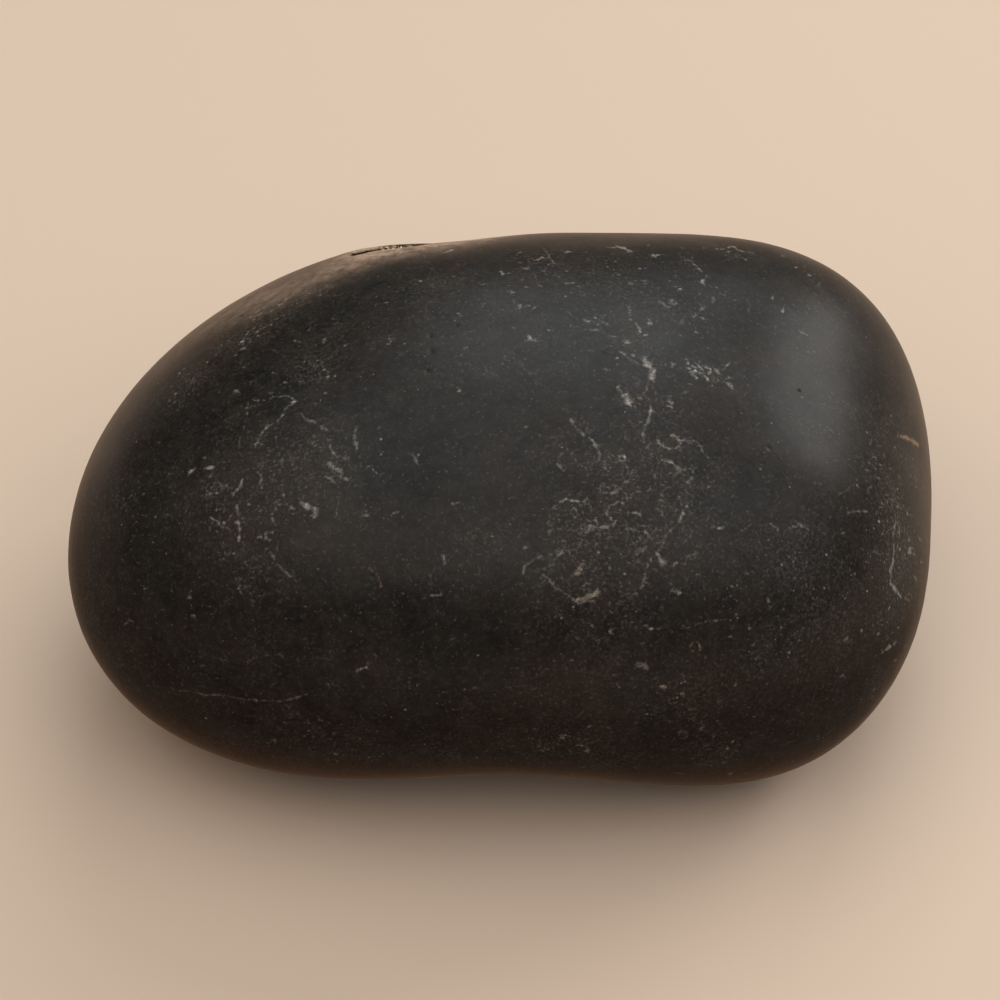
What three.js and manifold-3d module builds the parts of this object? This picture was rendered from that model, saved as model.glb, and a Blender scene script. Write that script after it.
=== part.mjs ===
// A shaligram: a black river stone, worn to the shape of a small loaf, with a natural hollow
// called its mouth in the far upper rim. The stone formed as one piece, so it is one solid.
//
// Millimetres, +Z up. X runs along the stone, from its narrow left end to its blunt right end,
// and Y from its front to its back. The origin is on the ground, under the middle of the stone.

import * as THREE from 'three';
import { mergeVertices } from 'three/addons/utils/BufferGeometryUtils.js';
import Module from 'manifold-3d';

// ---------------------------------------------------------------------------------------------
// Driving dimensions
// ---------------------------------------------------------------------------------------------

const LENGTH = 100;
const WIDTH = 70;
const HEIGHT = 50;

// How far the loaf reaches from its heart on each side, before it is brought to size. Only the
// proportions count here: the left end reaches further than the right, and the top is taller
// than the belly.
const REACH = { right: 0.9, left: 1.0, back: 0.73, front: 0.715, top: 0.57, belly: 0.42 };

// 2 is a true ellipse, and larger numbers are squarer. The right end is blunt in plan.
const SQUARENESS = { leftEnd: 2.2, rightEnd: 2.6, upright: 2.25 };

// The river left broad swells and hollows in the loaf. Each is a rounded bump about the direction
// it lies in, seen from the heart of the stone: azimuth from +X towards +Y, elevation above the
// horizontal, and spread, in degrees. A rise below nought is a hollow.
const SWELLS = [
  // the two corners of the blunt end, at the back and at the front
  { azimuth: 39, elevation: 19, spread: 22, rise: 0.072 },
  { azimuth: -40, elevation: -26, spread: 18, rise: 0.063 },
  // the flat of the blunt end
  { azimuth: -22, elevation: 14, spread: 36, rise: -0.05 },
  // the waist under the front
  { azimuth: -96, elevation: -28, spread: 29, rise: -0.067 },
  // the belly of the narrow end, its worn shoulder, and the far rim beside that
  { azimuth: -146, elevation: -10, spread: 23, rise: 0.044 },
  { azimuth: 165, elevation: 19, spread: 21, rise: -0.044 },
  { azimuth: 145, elevation: 32, spread: 12, rise: -0.01 },
  // the dip towards the mouth, and the deeper one beside it, on its right
  { azimuth: 115, elevation: 38, spread: 9, rise: -0.007 },
  { azimuth: 105, elevation: 34, spread: 8, rise: -0.018 },
];

// The underside is worn flat where the loaf would reach below this level, and rolls into its
// sides over the blend. Both are in the loaf's own proportions.
const GROUND = { level: -0.375, blend: 0.03 };

// The mouth: a narrow hollow that lies along the far rim, deepest in the middle and drawn out to
// a slit at both ends. Three oval balls cut it, each with its middle on the skin and set along the
// mouth by a distance towards the narrow end. The turn, in degrees, lays it along the rim.
const MOUTH = { azimuth: 118, elevation: 33, turn: -4 };
const MOUTH_BALLS = [
  { along: 0, length: 6.4, height: 4.8, depth: 4.4 },
  { along: 3.2, length: 4.6, height: 2.4, depth: 2.0 },
  { along: -3.0, length: 4.4, height: 2.8, depth: 2.4 },
];

// Fineness: how often each edge of the icosahedron under the skin is split, and the parts round
// and along each ball of the mouth.
const SKIN_DETAIL = 18;
const MOUTH_SIDES = 28;
const MOUTH_RINGS = 18;

const STONE_COLOUR = 0x2c2a28;
const STONE_ROUGHNESS = 0.5;

// ---------------------------------------------------------------------------------------------
// The worn loaf
// ---------------------------------------------------------------------------------------------

function directionOf(azimuth, elevation) {
  const polar = THREE.MathUtils.degToRad(90 - elevation);
  const around = THREE.MathUtils.degToRad(azimuth);
  return new THREE.Vector3(
    Math.sin(polar) * Math.cos(around),
    Math.sin(polar) * Math.sin(around),
    Math.cos(polar),
  );
}

// Distance from the heart to the skin of a squarish ellipsoid whose six sides all differ.
function loafReach(direction) {
  const along = direction.x > 0 ? REACH.right : REACH.left;
  const across = direction.y > 0 ? REACH.back : REACH.front;
  const upright = direction.z > 0 ? REACH.top : REACH.belly;
  const towardsRight = THREE.MathUtils.smoothstep(direction.x, -1, 1);
  const plan = THREE.MathUtils.lerp(SQUARENESS.leftEnd, SQUARENESS.rightEnd, towardsRight);
  const inPlan = (Math.abs(direction.x) / along) ** plan + (Math.abs(direction.y) / across) ** plan;
  const section = SQUARENESS.upright;
  const total = inPlan ** (section / plan) + (Math.abs(direction.z) / upright) ** section;
  return total ** (-1 / section);
}

function swellOf(direction) {
  let rise = 0;
  for (const swell of SWELLS) {
    const centre = directionOf(swell.azimuth, swell.elevation);
    const away = THREE.MathUtils.radToDeg(direction.angleTo(centre)) / swell.spread;
    rise += swell.rise * Math.exp(-away * away);
  }
  return rise;
}

// Height above the ground: exactly nought over the worn flat, then a smooth roll into the side.
function heightAboveGround(z) {
  const above = z - GROUND.level;
  if (above <= -GROUND.blend) return 0;
  if (above >= GROUND.blend) return above;
  return (above + GROUND.blend) ** 2 / (4 * GROUND.blend);
}

function makeLoaf() {
  const ball = new THREE.IcosahedronGeometry(1, SKIN_DETAIL);
  ball.deleteAttribute('normal');
  ball.deleteAttribute('uv');
  const loaf = mergeVertices(ball, 1e-5);

  const corners = loaf.getAttribute('position');
  const direction = new THREE.Vector3();
  for (let i = 0; i < corners.count; i += 1) {
    direction.fromBufferAttribute(corners, i).normalize();
    const skin = direction.clone().multiplyScalar(loafReach(direction) + swellOf(direction));
    corners.setXYZ(i, skin.x, skin.y, heightAboveGround(skin.z));
  }

  // Bring the loaf to its real size and stand it on the ground over the origin.
  loaf.computeBoundingBox();
  const { min, max } = loaf.boundingBox;
  loaf.translate(-(min.x + max.x) / 2, -(min.y + max.y) / 2, -min.z);
  loaf.scale(LENGTH / (max.x - min.x), WIDTH / (max.y - min.y), HEIGHT / (max.z - min.z));
  return loaf;
}

// ---------------------------------------------------------------------------------------------
// The mouth
// ---------------------------------------------------------------------------------------------

// Where a line from the middle of the stone leaves its skin. The line meets the skin from within,
// so the back of each face counts.
function pointOnSkin(loaf, direction) {
  const heart = new THREE.Vector3(0, 0, HEIGHT / 2);
  const skin = new THREE.Mesh(loaf, new THREE.MeshBasicMaterial({ side: THREE.BackSide }));
  const [hit] = new THREE.Raycaster(heart, direction).intersectObject(skin);
  return hit.point;
}

// One oval ball of the mouth, with its middle on the skin.
function makeMouthBall(size, outward, place) {
  const sphere = new THREE.SphereGeometry(1, MOUTH_SIDES, MOUTH_RINGS);
  sphere.deleteAttribute('normal');
  sphere.deleteAttribute('uv');
  const ball = mergeVertices(sphere, 1e-5);
  ball.scale(size.length / 2, size.height / 2, size.depth);
  ball.translate(size.along, 0, 0);
  ball.rotateZ(THREE.MathUtils.degToRad(MOUTH.turn));
  const facing = new THREE.Matrix4().lookAt(outward, new THREE.Vector3(), new THREE.Vector3(0, 0, 1));
  ball.applyMatrix4(facing);
  ball.translate(place.x, place.y, place.z);
  return ball;
}

// ---------------------------------------------------------------------------------------------
// The stone: the loaf less its mouth
// ---------------------------------------------------------------------------------------------

const wasm = await Module();
wasm.setup();

function toSolid(geometry) {
  const vertProperties = new Float32Array(geometry.getAttribute('position').array);
  const triVerts = new Uint32Array(geometry.index.array);
  return new wasm.Manifold(new wasm.Mesh({ numProp: 3, vertProperties, triVerts }));
}

function toGeometry(solid) {
  const { vertProperties, triVerts } = solid.getMesh();
  const geometry = new THREE.BufferGeometry();
  geometry.setAttribute('position', new THREE.BufferAttribute(vertProperties, 3));
  geometry.setIndex(new THREE.BufferAttribute(triVerts, 1));
  geometry.computeVertexNormals();
  return geometry;
}

const loaf = makeLoaf();
const mouthFaces = directionOf(MOUTH.azimuth, MOUTH.elevation);
const mouthPlace = pointOnSkin(loaf, mouthFaces);
let stoneSolid = toSolid(loaf);
for (const size of MOUTH_BALLS) {
  stoneSolid = stoneSolid.subtract(toSolid(makeMouthBall(size, mouthFaces, mouthPlace)));
}
const stoneMaterial = new THREE.MeshStandardMaterial({
  color: STONE_COLOUR,
  roughness: STONE_ROUGHNESS,
  metalness: 0,
});
const stone = new THREE.Mesh(toGeometry(stoneSolid), stoneMaterial);
stone.name = 'stone';

const group = new THREE.Group();
group.name = 'shaligram';
group.add(stone);

export default group;
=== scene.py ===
# %% [markdown]
# # A shaligram
#
# A shaligram is a black river stone. It began as a nodule of very fine mud in a sea bed, turned
# to black shale and limestone, and was then rolled round by a mountain river and rubbed by hand
# until its skin had the soft gloss of satin. This lesson dresses one such stone: a small loaf,
# 100 mm long, with a hollow called the mouth in its far upper rim and thin pale veins in its skin.
#
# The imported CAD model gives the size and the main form. Everything here is in metres, in the
# same frame: x along the stone, y from its front to its back, z up, the ground at z = 0.

import math
import random

import bmesh
import bpy
from mathutils import Matrix, Vector, noise
from mathutils.bvhtree import BVHTree
from mathutils.kdtree import KDTree


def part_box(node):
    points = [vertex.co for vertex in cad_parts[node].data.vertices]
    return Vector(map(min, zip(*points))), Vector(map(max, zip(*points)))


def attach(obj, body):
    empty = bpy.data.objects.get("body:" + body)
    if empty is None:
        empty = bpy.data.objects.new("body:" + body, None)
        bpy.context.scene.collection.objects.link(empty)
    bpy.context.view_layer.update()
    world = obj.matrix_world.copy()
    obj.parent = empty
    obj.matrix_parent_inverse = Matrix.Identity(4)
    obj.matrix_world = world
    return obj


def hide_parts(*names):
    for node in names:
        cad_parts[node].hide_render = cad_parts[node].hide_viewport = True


MM = 0.001

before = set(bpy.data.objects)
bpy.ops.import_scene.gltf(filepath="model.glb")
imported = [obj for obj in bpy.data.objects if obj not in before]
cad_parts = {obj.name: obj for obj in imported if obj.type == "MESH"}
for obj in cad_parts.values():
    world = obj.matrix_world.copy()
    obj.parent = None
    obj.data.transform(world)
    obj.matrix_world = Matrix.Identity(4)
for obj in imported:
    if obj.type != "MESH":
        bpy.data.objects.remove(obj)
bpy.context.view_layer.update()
cad_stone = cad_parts["stone"]
lowest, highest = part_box("stone")
cad_size = (highest - lowest) / MM
print("the CAD stone is", [round(side, 1) for side in cad_size], "mm")

# %% [markdown]
# ## The camera
#
# The stone is seen from its front, half way between level and straight down, through a long lens
# from about the length of an arm. The camera comes first, so that every later step can be looked at.

# %% Camera
LOOK_AT = Vector((-0.36, 0, 23.4)) * MM
VIEW_DISTANCE = 385 * MM
VIEW_ELEVATION = math.radians(45)

camera_data = bpy.data.cameras.new("camera")
camera_data.lens = 120
camera_data.sensor_width = 36
camera_data.clip_start = 10 * MM
camera = bpy.data.objects.new("camera", camera_data)
bpy.context.scene.collection.objects.link(camera)
towards_camera = Vector((0, -math.cos(VIEW_ELEVATION), math.sin(VIEW_ELEVATION)))
camera.location = LOOK_AT + VIEW_DISTANCE * towards_camera
camera.rotation_euler = (-towards_camera).to_track_quat("-Z", "Y").to_euler()
bpy.context.scene.camera = camera
print("the camera is", round(VIEW_DISTANCE / MM), "mm from the stone")

# %% [markdown]
# ## The skin of the stone
#
# The CAD stone is made of flat facets about 2 mm wide, and a polished stone shows every facet in
# its gloss. Its copy could be subdivided, but that keeps the uneven triangles and their creases.
# A voxel remesh gives an even net of small squares instead, and many passes of smoothing then
# melt the facets away. Near the mouth only a few passes are made, which round its lips as wear
# does and keep the hollow open.

# %% Even net over the CAD form
NET_SIZE = 0.9 * MM
MERGE_DISTANCE = 0.001 * MM


def remeshed(mesh, net_size):
    """A new bmesh of the same form, with an even net of quads of the given size."""
    carrier = bpy.data.objects.new("carrier", mesh)
    bpy.context.scene.collection.objects.link(carrier)
    modifier = carrier.modifiers.new("net", "REMESH")
    modifier.mode = "VOXEL"
    modifier.voxel_size = net_size
    graph = bpy.context.evaluated_depsgraph_get()
    made = bmesh.new()
    made.from_object(carrier, graph)
    bpy.data.objects.remove(carrier)
    return made


merged = bmesh.new()
merged.from_mesh(cad_stone.data)
bmesh.ops.remove_doubles(merged, verts=merged.verts, dist=MERGE_DISTANCE)
form_mesh = bpy.data.meshes.new("form")
merged.to_mesh(form_mesh)
form_tree = BVHTree.FromBMesh(merged)
merged.free()

skin = remeshed(form_mesh, NET_SIZE)
print("the net has", len(skin.faces), "squares")

# %% [markdown]
# The mouth is cut by an oval ball whose middle lies on the skin. A ray from the heart of the stone
# meets the bottom of the hollow, and the skin that was there lies the ball's depth further out. Two
# directions go with that place: along the mouth, towards the narrow end, and across it.

# %% Find the mouth
HEART = Vector((0, 0, 25)) * MM
MOUTH_AZIMUTH = 118
MOUTH_ELEVATION = 33
MOUTH_DEPTH = 4.4 * MM
MOUTH_TURN = math.radians(-4)


def direction_of(azimuth, elevation):
    """A unit vector: azimuth from +X towards +Y, elevation above the horizontal, in degrees."""
    around = math.radians(azimuth)
    up = math.radians(elevation)
    return Vector((math.cos(up) * math.cos(around), math.cos(up) * math.sin(around), math.sin(up)))


def reach(azimuth, elevation):
    """How far the CAD skin is from the heart of the stone in a direction."""
    return form_tree.ray_cast(HEART, direction_of(azimuth, elevation))[3]


mouth_faces = direction_of(MOUTH_AZIMUTH, MOUTH_ELEVATION)
mouth_middle = HEART + mouth_faces * (reach(MOUTH_AZIMUTH, MOUTH_ELEVATION) + MOUTH_DEPTH)
turned = Matrix.Rotation(MOUTH_TURN, 3, mouth_faces)
along_mouth = turned @ Vector((0, 0, 1)).cross(mouth_faces).normalized()
across_mouth = mouth_faces.cross(along_mouth)
print("the mouth is at", [round(value / MM, 1) for value in mouth_middle], "mm")

# %% Melt the facets
LONG_SMOOTHING = 28
SHORT_SMOOTHING = 3
MOUTH_KEEPS = 6.5 * MM


def smooth(net, verts, passes):
    """Evens out a net: each pass moves every vertex half way to the middle of its neighbours."""
    for _ in range(passes):
        bmesh.ops.smooth_vert(net, verts=verts, factor=0.5, use_axis_x=True, use_axis_y=True, use_axis_z=True)


away_from_mouth = [v for v in skin.verts if (v.co - mouth_middle).length > MOUTH_KEEPS]
smooth(skin, away_from_mouth, LONG_SMOOTHING)
smooth(skin, skin.verts, SHORT_SMOOTHING)
skin_tree = BVHTree.FromBMesh(skin)
print(len(away_from_mouth), "of", len(skin.verts), "vertices were smoothed", LONG_SMOOTHING, "times")

# %% [markdown]
# ## Drawing the veins
#
# The pale veins are the one thing that makes this stone this stone: a broken ring at the narrow
# end, a nest of curls and dots right of the middle, and small scrapes round the rims. A noise
# texture could scatter veins of the right kind, but never these ones. So they are drawn, like ink,
# on a sheet that leans over the front of the stone at 45 degrees. Each point of the sheet is then
# pushed onto the stone along its line from a drawing eye, an arm's length away. The eye stays
# there, wherever the camera is moved later.
#
# On the sheet, x runs to the right and y up the sheet, in mm, from the middle of the stone. A vein
# is how strongly it shows, its width in mm, its tone from 0, chalk white, to 1, tan, and its points.

# %% The drawing sheet
DRAWING_DISTANCE = 385 * MM
SHEET_MIDDLE = Vector((-0.36, 0, 23.4)) * MM
SHEET_LEAN = math.radians(45)
SHEET_RIGHT = Vector((1, 0, 0))
SHEET_UP = Vector((0, math.sin(SHEET_LEAN), math.cos(SHEET_LEAN)))
DRAWING_EYE = SHEET_MIDDLE + DRAWING_DISTANCE * Vector((0, -math.cos(SHEET_LEAN), math.sin(SHEET_LEAN)))


def press_on(x, y):
    """The point of the skin under a point of the sheet, or None where the sheet runs past it."""
    on_sheet = SHEET_MIDDLE + x * MM * SHEET_RIGHT + y * MM * SHEET_UP
    return skin_tree.ray_cast(DRAWING_EYE, (on_sheet - DRAWING_EYE).normalized())[0]


print("the middle of the sheet falls at", [round(value / MM, 1) for value in press_on(0, 0)], "mm")

# %% Veins of the broken ring at the narrow end
RING_VEINS = [
    (0.7, 0.2, 0.1, [(-28.3, 11.6), (-26.8, 11.4), (-26.0, 11.9), (-24.3, 12.0), (-23.2, 11.4)]),
    (0.5, 0.2, 0.2, [(-28.9, 11.3), (-29.0, 9.1), (-29.8, 7.2), (-30.0, 5.7), (-29.6, 5.0)]),
    (0.8, 0.4, 0.1, [(-23.6, 11.3), (-24.2, 10.8), (-24.6, 10.5)]),
    (0.6, 0.3, 0.2, [(-24.6, 10.4), (-25.4, 9.2), (-26.6, 8.5), (-27.6, 7.4), (-28.0, 6.2)]),
    (0.7, 0.3, 0.2, [(-22.8, 9.9), (-22.1, 9.2), (-20.9, 8.8), (-19.9, 8.1)]),
    (0.8, 0.25, 0.1, [(-19.5, 6.9), (-19.3, 5.8), (-18.7, 4.9)]),
    (1.0, 0.45, 0.1, [(-19.6, 4.4), (-18.9, 3.8), (-18.2, 3.2), (-17.7, 2.5)]),
    (0.9, 0.25, 0.1, [(-20.1, 2.7), (-19.3, 2.5), (-18.5, 1.5)]),
    (0.4, 0.2, 0.2, [(-18.5, 1.5), (-18.5, -0.3), (-18.8, -2.1)]),
    (0.7, 0.25, 0.1, [(-16.5, 8.4), (-16.6, 7.2), (-16.3, 6.0)]),
    (0.4, 0.2, 0.3, [(-16.0, 5.2), (-15.8, 3.8)]),
    (0.7, 0.25, 0.0, [(-15.0, 3.8), (-14.4, 3.4), (-13.7, 2.9)]),
    (0.9, 0.3, 0.0, [(-35.5, 3.2), (-34.8, 3.8)]),
    (0.9, 0.35, 0.0, [(-33.9, 3.6), (-32.9, 3.9)]),
    (0.8, 0.25, 0.0, [(-32.3, 2.1), (-31.9, 1.6), (-31.4, 1.7)]),
    (0.9, 0.3, 0.1, [(-29.5, 2.5), (-29.8, 1.5), (-30.6, 0.6)]),
    (0.9, 0.3, 0.2, [(-30.2, -0.7), (-30.0, -1.6), (-29.8, -3.0), (-29.9, -4.7)]),
    (0.7, 0.2, 0.0, [(-33.1, -2.1), (-31.8, -2.9), (-31.0, -3.4)]),
    (0.8, 0.25, 0.1, [(-27.7, 3.2), (-27.3, 2.5), (-27.7, 1.8), (-27.2, 1.4)]),
    (0.6, 0.25, 0.2, [(-24.8, 0.8), (-24.8, -0.1), (-25.5, -0.8), (-26.1, -1.7)]),
    (0.7, 0.25, 0.2, [(-26.2, -2.0), (-25.6, -2.9)]),
    (1.0, 0.5, 0.1, [(-22.8, -0.4), (-21.8, -0.8), (-21.1, -0.9), (-21.2, -1.7)]),
    (0.6, 0.3, 0.2, [(-24.3, -0.6), (-23.6, -1.0)]),
    (0.8, 0.25, 0.1, [(-27.7, -4.2), (-27.0, -4.1), (-26.4, -4.7)]),
    (0.8, 0.3, 0.1, [(-27.0, -4.1), (-26.8, -3.6), (-26.1, -3.7)]),
    (0.5, 0.2, 0.2, [(-26.5, -5.5), (-27.0, -6.2)]),
    (0.6, 0.2, 0.1, [(-26.2, -6.0), (-25.7, -7.2), (-25.0, -7.9), (-24.3, -8.5), (-23.1, -9.5)]),
    (0.4, 0.2, 0.2, [(-25.5, -5.6), (-25.5, -5.2), (-24.8, -5.0)]),
    (0.5, 0.25, 0.2, [(-30.4, -8.3), (-30.0, -9.9), (-29.5, -10.8)]),
    (0.5, 0.2, 0.8, [(-16.9, -7.7), (-14.9, -7.7), (-13.8, -8.9), (-13.6, -9.8)]),
    (0.4, 0.2, 0.2, [(-33.5, -8.1), (-33.3, -9.3)]),
    (0.4, 0.2, 0.3, [(-29.0, -18.7), (-27.7, -17.9), (-26.1, -17.8), (-24.8, -17.9)]),
]
print(len(RING_VEINS), "veins in the ring")

# %% Veins of the nest right of the middle
NEST_VEINS = [
    (0.6, 0.25, 0.2, [(14.1, 16.9), (15.1, 16.2), (16.1, 15.7), (16.9, 15.5)]),
    (1.0, 0.6, 0.2, [(16.7, 16.0), (17.3, 15.3), (17.8, 14.9), (17.5, 14.1)]),
    (0.8, 0.3, 0.2, [(17.0, 13.7), (16.8, 12.6), (16.2, 11.7)]),
    (0.8, 0.25, 0.2, [(13.5, 13.0), (14.1, 12.3)]),
    (0.9, 0.6, 0.2, [(14.3, 12.1), (14.8, 11.3)]),
    (0.9, 0.25, 0.1, [(17.4, 10.9), (17.3, 9.7), (16.8, 8.5)]),
    (0.6, 0.2, 0.2, [(16.8, 8.5), (16.4, 7.5), (16.6, 7.0), (17.2, 6.9)]),
    (1.0, 0.35, 0.2, [(19.4, 11.4), (19.8, 11.2)]),
    (1.0, 0.35, 0.1, [(19.4, 10.9), (19.9, 10.6)]),
    (0.5, 0.25, 0.2, [(19.7, 9.6), (19.4, 9.0), (19.2, 8.4)]),
    (0.8, 0.3, 0.3, [(18.1, 7.1), (18.5, 6.4), (19.4, 6.0), (20.3, 6.0), (20.8, 6.5), (20.5, 7.2)]),
    (0.6, 0.3, 0.3, [(20.8, 6.9), (21.6, 6.7), (22.3, 6.9)]),
    (0.8, 0.3, 0.2, [(22.3, 6.9), (23.0, 6.5), (23.5, 5.5)]),
    (0.5, 0.2, 0.2, [(23.5, 5.5), (24.1, 4.7), (24.7, 4.1)]),
    (0.5, 0.3, 0.2, [(8.2, 9.3), (8.8, 8.2), (9.4, 7.8)]),
    (0.9, 0.3, 0.2, [(9.4, 7.8), (9.9, 7.3), (10.7, 6.9), (11.1, 6.0)]),
    (0.6, 0.3, 0.2, [(11.1, 6.0), (11.6, 5.2), (11.3, 4.6), (12.0, 4.4), (12.4, 3.2)]),
    (0.6, 0.25, 0.2, [(14.6, 8.0), (14.4, 7.6), (14.6, 6.9)]),
    (0.4, 0.2, 0.2, [(13.7, 5.8), (14.6, 6.2)]),
    (0.6, 0.25, 0.2, [(14.7, 3.7), (15.3, 3.6), (15.1, 2.8), (14.6, 2.0)]),
    (0.6, 0.3, 0.2, [(14.6, 2.0), (13.9, 1.4), (13.3, 0.9), (12.3, 0.8), (11.7, 1.0), (11.6, 1.7)]),
    (0.5, 0.2, 0.1, [(11.7, 2.0), (12.6, 1.3)]),
    (0.7, 0.25, 0.1, [(18.8, 4.6), (19.6, 4.3), (20.3, 3.9)]),
    (0.9, 0.3, 0.1, [(20.3, 3.9), (20.9, 3.5), (21.9, 3.7)]),
    (0.8, 0.25, 0.1, [(21.9, 3.7), (22.3, 3.4), (22.1, 2.6), (21.6, 2.0)]),
    (0.7, 0.25, 0.1, [(20.7, 0.4), (20.9, -0.6), (21.1, -1.6), (20.7, -2.4)]),
    (0.6, 0.25, 0.2, [(20.7, -2.4), (19.9, -3.2), (19.3, -4.0), (18.7, -5.2), (18.0, -6.2)]),
    (0.9, 0.3, 0.1, [(18.0, -6.2), (17.4, -6.8), (16.9, -7.8), (16.7, -9.0), (16.4, -9.9)]),
    (0.9, 0.4, 0.1, [(18.1, -6.3), (18.8, -7.2)]),
    (0.6, 0.25, 0.2, [(16.4, -9.9), (15.5, -10.9), (14.5, -11.5)]),
    (0.3, 0.2, 0.2, [(14.5, -11.5), (12.9, -12.5)]),
    (0.4, 0.2, 0.1, [(5.7, -2.4), (5.8, -1.4), (6.8, -0.3)]),
    (0.8, 0.25, 0.1, [(6.8, -0.3), (7.7, 0.1), (8.8, -0.1), (9.7, -0.2), (10.0, 0.2)]),
    (0.6, 0.25, 0.1, [(5.2, -3.8), (6.2, -3.3)]),
    (0.8, 0.25, 0.1, [(12.3, -1.5), (12.7, -0.6), (13.5, -0.2), (14.3, -0.4)]),
    (0.6, 0.25, 0.2, [(12.3, -1.6), (12.9, -2.3)]),
    (0.7, 0.3, 0.2, [(14.7, -1.4), (15.7, -1.4), (16.1, -1.7)]),
    (0.5, 0.5, 0.3, [(9.2, -3.9), (10.1, -3.4), (10.9, -3.2), (12.1, -3.2), (13.5, -2.4)]),
    (0.9, 0.25, 0.1, [(14.0, -3.8), (14.7, -3.2), (15.5, -3.5)]),
    (0.7, 0.3, 0.2, [(16.9, -5.4), (15.8, -6.4)]),
    (0.7, 0.25, 0.2, [(8.7, -5.7), (7.4, -5.8), (6.7, -6.3), (6.2, -7.4), (5.6, -7.7)]),
    (0.9, 0.3, 0.2, [(5.2, -8.6), (5.8, -9.3)]),
    (0.7, 0.3, 0.3, [(5.8, -9.3), (6.8, -10.4), (8.0, -11.0), (8.7, -11.5)]),
    (1.1, 0.6, 0.4, [(8.8, -11.6), (9.7, -11.5), (10.5, -11.0), (11.3, -10.7)]),
    (0.7, 0.5, 0.4, [(9.7, -7.2), (9.2, -8.2), (8.8, -8.6)]),
    (0.7, 0.25, 0.2, [(2.6, -8.7), (3.0, -7.6), (3.8, -6.9), (4.8, -6.4)]),
    (0.6, 0.25, 0.1, [(19.9, -8.0), (20.2, -7.3), (21.1, -6.6), (22.1, -6.4), (22.6, -5.9)]),
    (0.4, 0.2, 0.0, [(27.7, -3.6), (28.9, -2.8)]),
    (0.8, 0.25, 0.2, [(6.6, 4.2), (7.0, 3.7), (7.5, 3.4)]),
]
print(len(NEST_VEINS), "veins in the nest")

# %% Scrapes on top, right of the middle
UPPER_RIGHT_VEINS = [
    (0.7, 0.25, 0.0, [(21.6, 16.0), (21.7, 15.6)]),
    (1.0, 0.3, 0.0, [(21.4, 15.3), (21.9, 15.1)]),
    (1.0, 0.3, 0.0, [(22.2, 15.5), (22.5, 15.3)]),
    (1.0, 0.25, 0.0, [(22.6, 15.8), (22.9, 15.5), (23.2, 15.2)]),
    (1.0, 0.3, 0.0, [(22.1, 14.7), (22.5, 14.9)]),
    (0.8, 0.2, 0.0, [(22.1, 14.5), (22.5, 14.6), (22.9, 14.5), (23.3, 14.7)]),
    (1.0, 0.35, 0.0, [(22.5, 14.3), (22.6, 14.1)]),
    (1.1, 0.35, 0.0, [(23.8, 15.3), (24.3, 15.0), (24.1, 14.6)]),
    (1.0, 0.3, 0.1, [(23.6, 14.4), (23.9, 13.9)]),
    (1.1, 0.35, 0.1, [(24.6, 15.2), (24.9, 15.1)]),
    (1.0, 0.25, 0.1, [(25.1, 14.9), (25.2, 14.5)]),
    (1.0, 0.25, 0.0, [(24.3, 14.1), (24.5, 14.2), (24.9, 14.4)]),
    (0.8, 0.25, 0.0, [(24.5, 13.2), (24.8, 13.5), (25.1, 13.8), (25.4, 13.6)]),
    (1.1, 0.35, 0.0, [(26.1, 13.5), (26.4, 13.3), (26.6, 13.1)]),
    (0.9, 0.25, 0.0, [(26.7, 12.9), (27.1, 12.7)]),
    (0.7, 0.2, 0.0, [(25.8, 15.1), (26.2, 15.5), (26.5, 16.0)]),
    (0.6, 0.2, 0.0, [(20.1, 13.2), (20.5, 12.9), (21.0, 12.2), (21.4, 12.4)]),
    (0.6, 0.25, 0.0, [(19.0, 16.2), (19.2, 15.6)]),
    (0.6, 0.25, 0.0, [(19.8, 15.9), (19.9, 15.4)]),
    (0.8, 0.25, 0.0, [(22.3, 21.1), (23.1, 21.8), (23.4, 22.1)]),
    (0.7, 0.2, 0.0, [(20.7, 20.3), (21.3, 21.1)]),
    (0.7, 0.25, 0.2, [(20.6, 28.2), (21.5, 27.8), (22.3, 27.3), (22.8, 26.8), (23.2, 26.3)]),
    (0.5, 0.2, 0.1, [(21.6, 28.5), (22.2, 27.9)]),
    (1.0, 0.25, 0.0, [(23.8, 25.8), (23.4, 25.3), (23.3, 25.1), (23.6, 24.7)]),
    (0.9, 0.35, 0.1, [(24.6, 23.3), (24.5, 22.8)]),
    (0.6, 0.2, 0.0, [(16.2, 25.3), (17.4, 25.1)]),
    (0.6, 0.2, 0.2, [(16.5, 26.9), (16.8, 26.6), (17.1, 26.8)]),
    (0.6, 0.25, 0.0, [(20.2, 24.6), (20.8, 24.6)]),
    (0.6, 0.5, 0.0, [(18.5, 22.9), (19.2, 22.3)]),
    (0.6, 0.2, 0.1, [(26.3, 25.8), (26.8, 25.3)]),
    (0.6, 0.25, 0.1, [(28.5, 23.0), (28.8, 22.4), (28.7, 21.7)]),
    (0.7, 0.25, 0.1, [(31.4, 23.7), (31.4, 23.1)]),
    (0.8, 0.25, 0.1, [(32.6, 22.0), (32.5, 21.3)]),
    (0.8, 0.2, 0.0, [(34.7, 19.4), (35.4, 19.0)]),
    (0.6, 0.25, 0.0, [(15.0, 22.5), (14.9, 21.2), (15.1, 20.7)]),
    (0.9, 0.3, 0.0, [(15.7, 20.4), (16.3, 19.4)]),
    (0.9, 0.3, 0.0, [(3.4, 18.9), (3.6, 18.5)]),
    (0.7, 0.3, 0.0, [(11.9, 20.6), (12.3, 20.2)]),
    (0.9, 0.3, 0.0, [(14.0, 17.0), (14.5, 16.7)]),
    (0.7, 0.2, 0.0, [(37.7, 8.4), (38.4, 7.7)]),
    (0.5, 0.2, 0.0, [(36.2, 2.0), (37.0, 1.9)]),
]
print(len(UPPER_RIGHT_VEINS), "scrapes on top")

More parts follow.
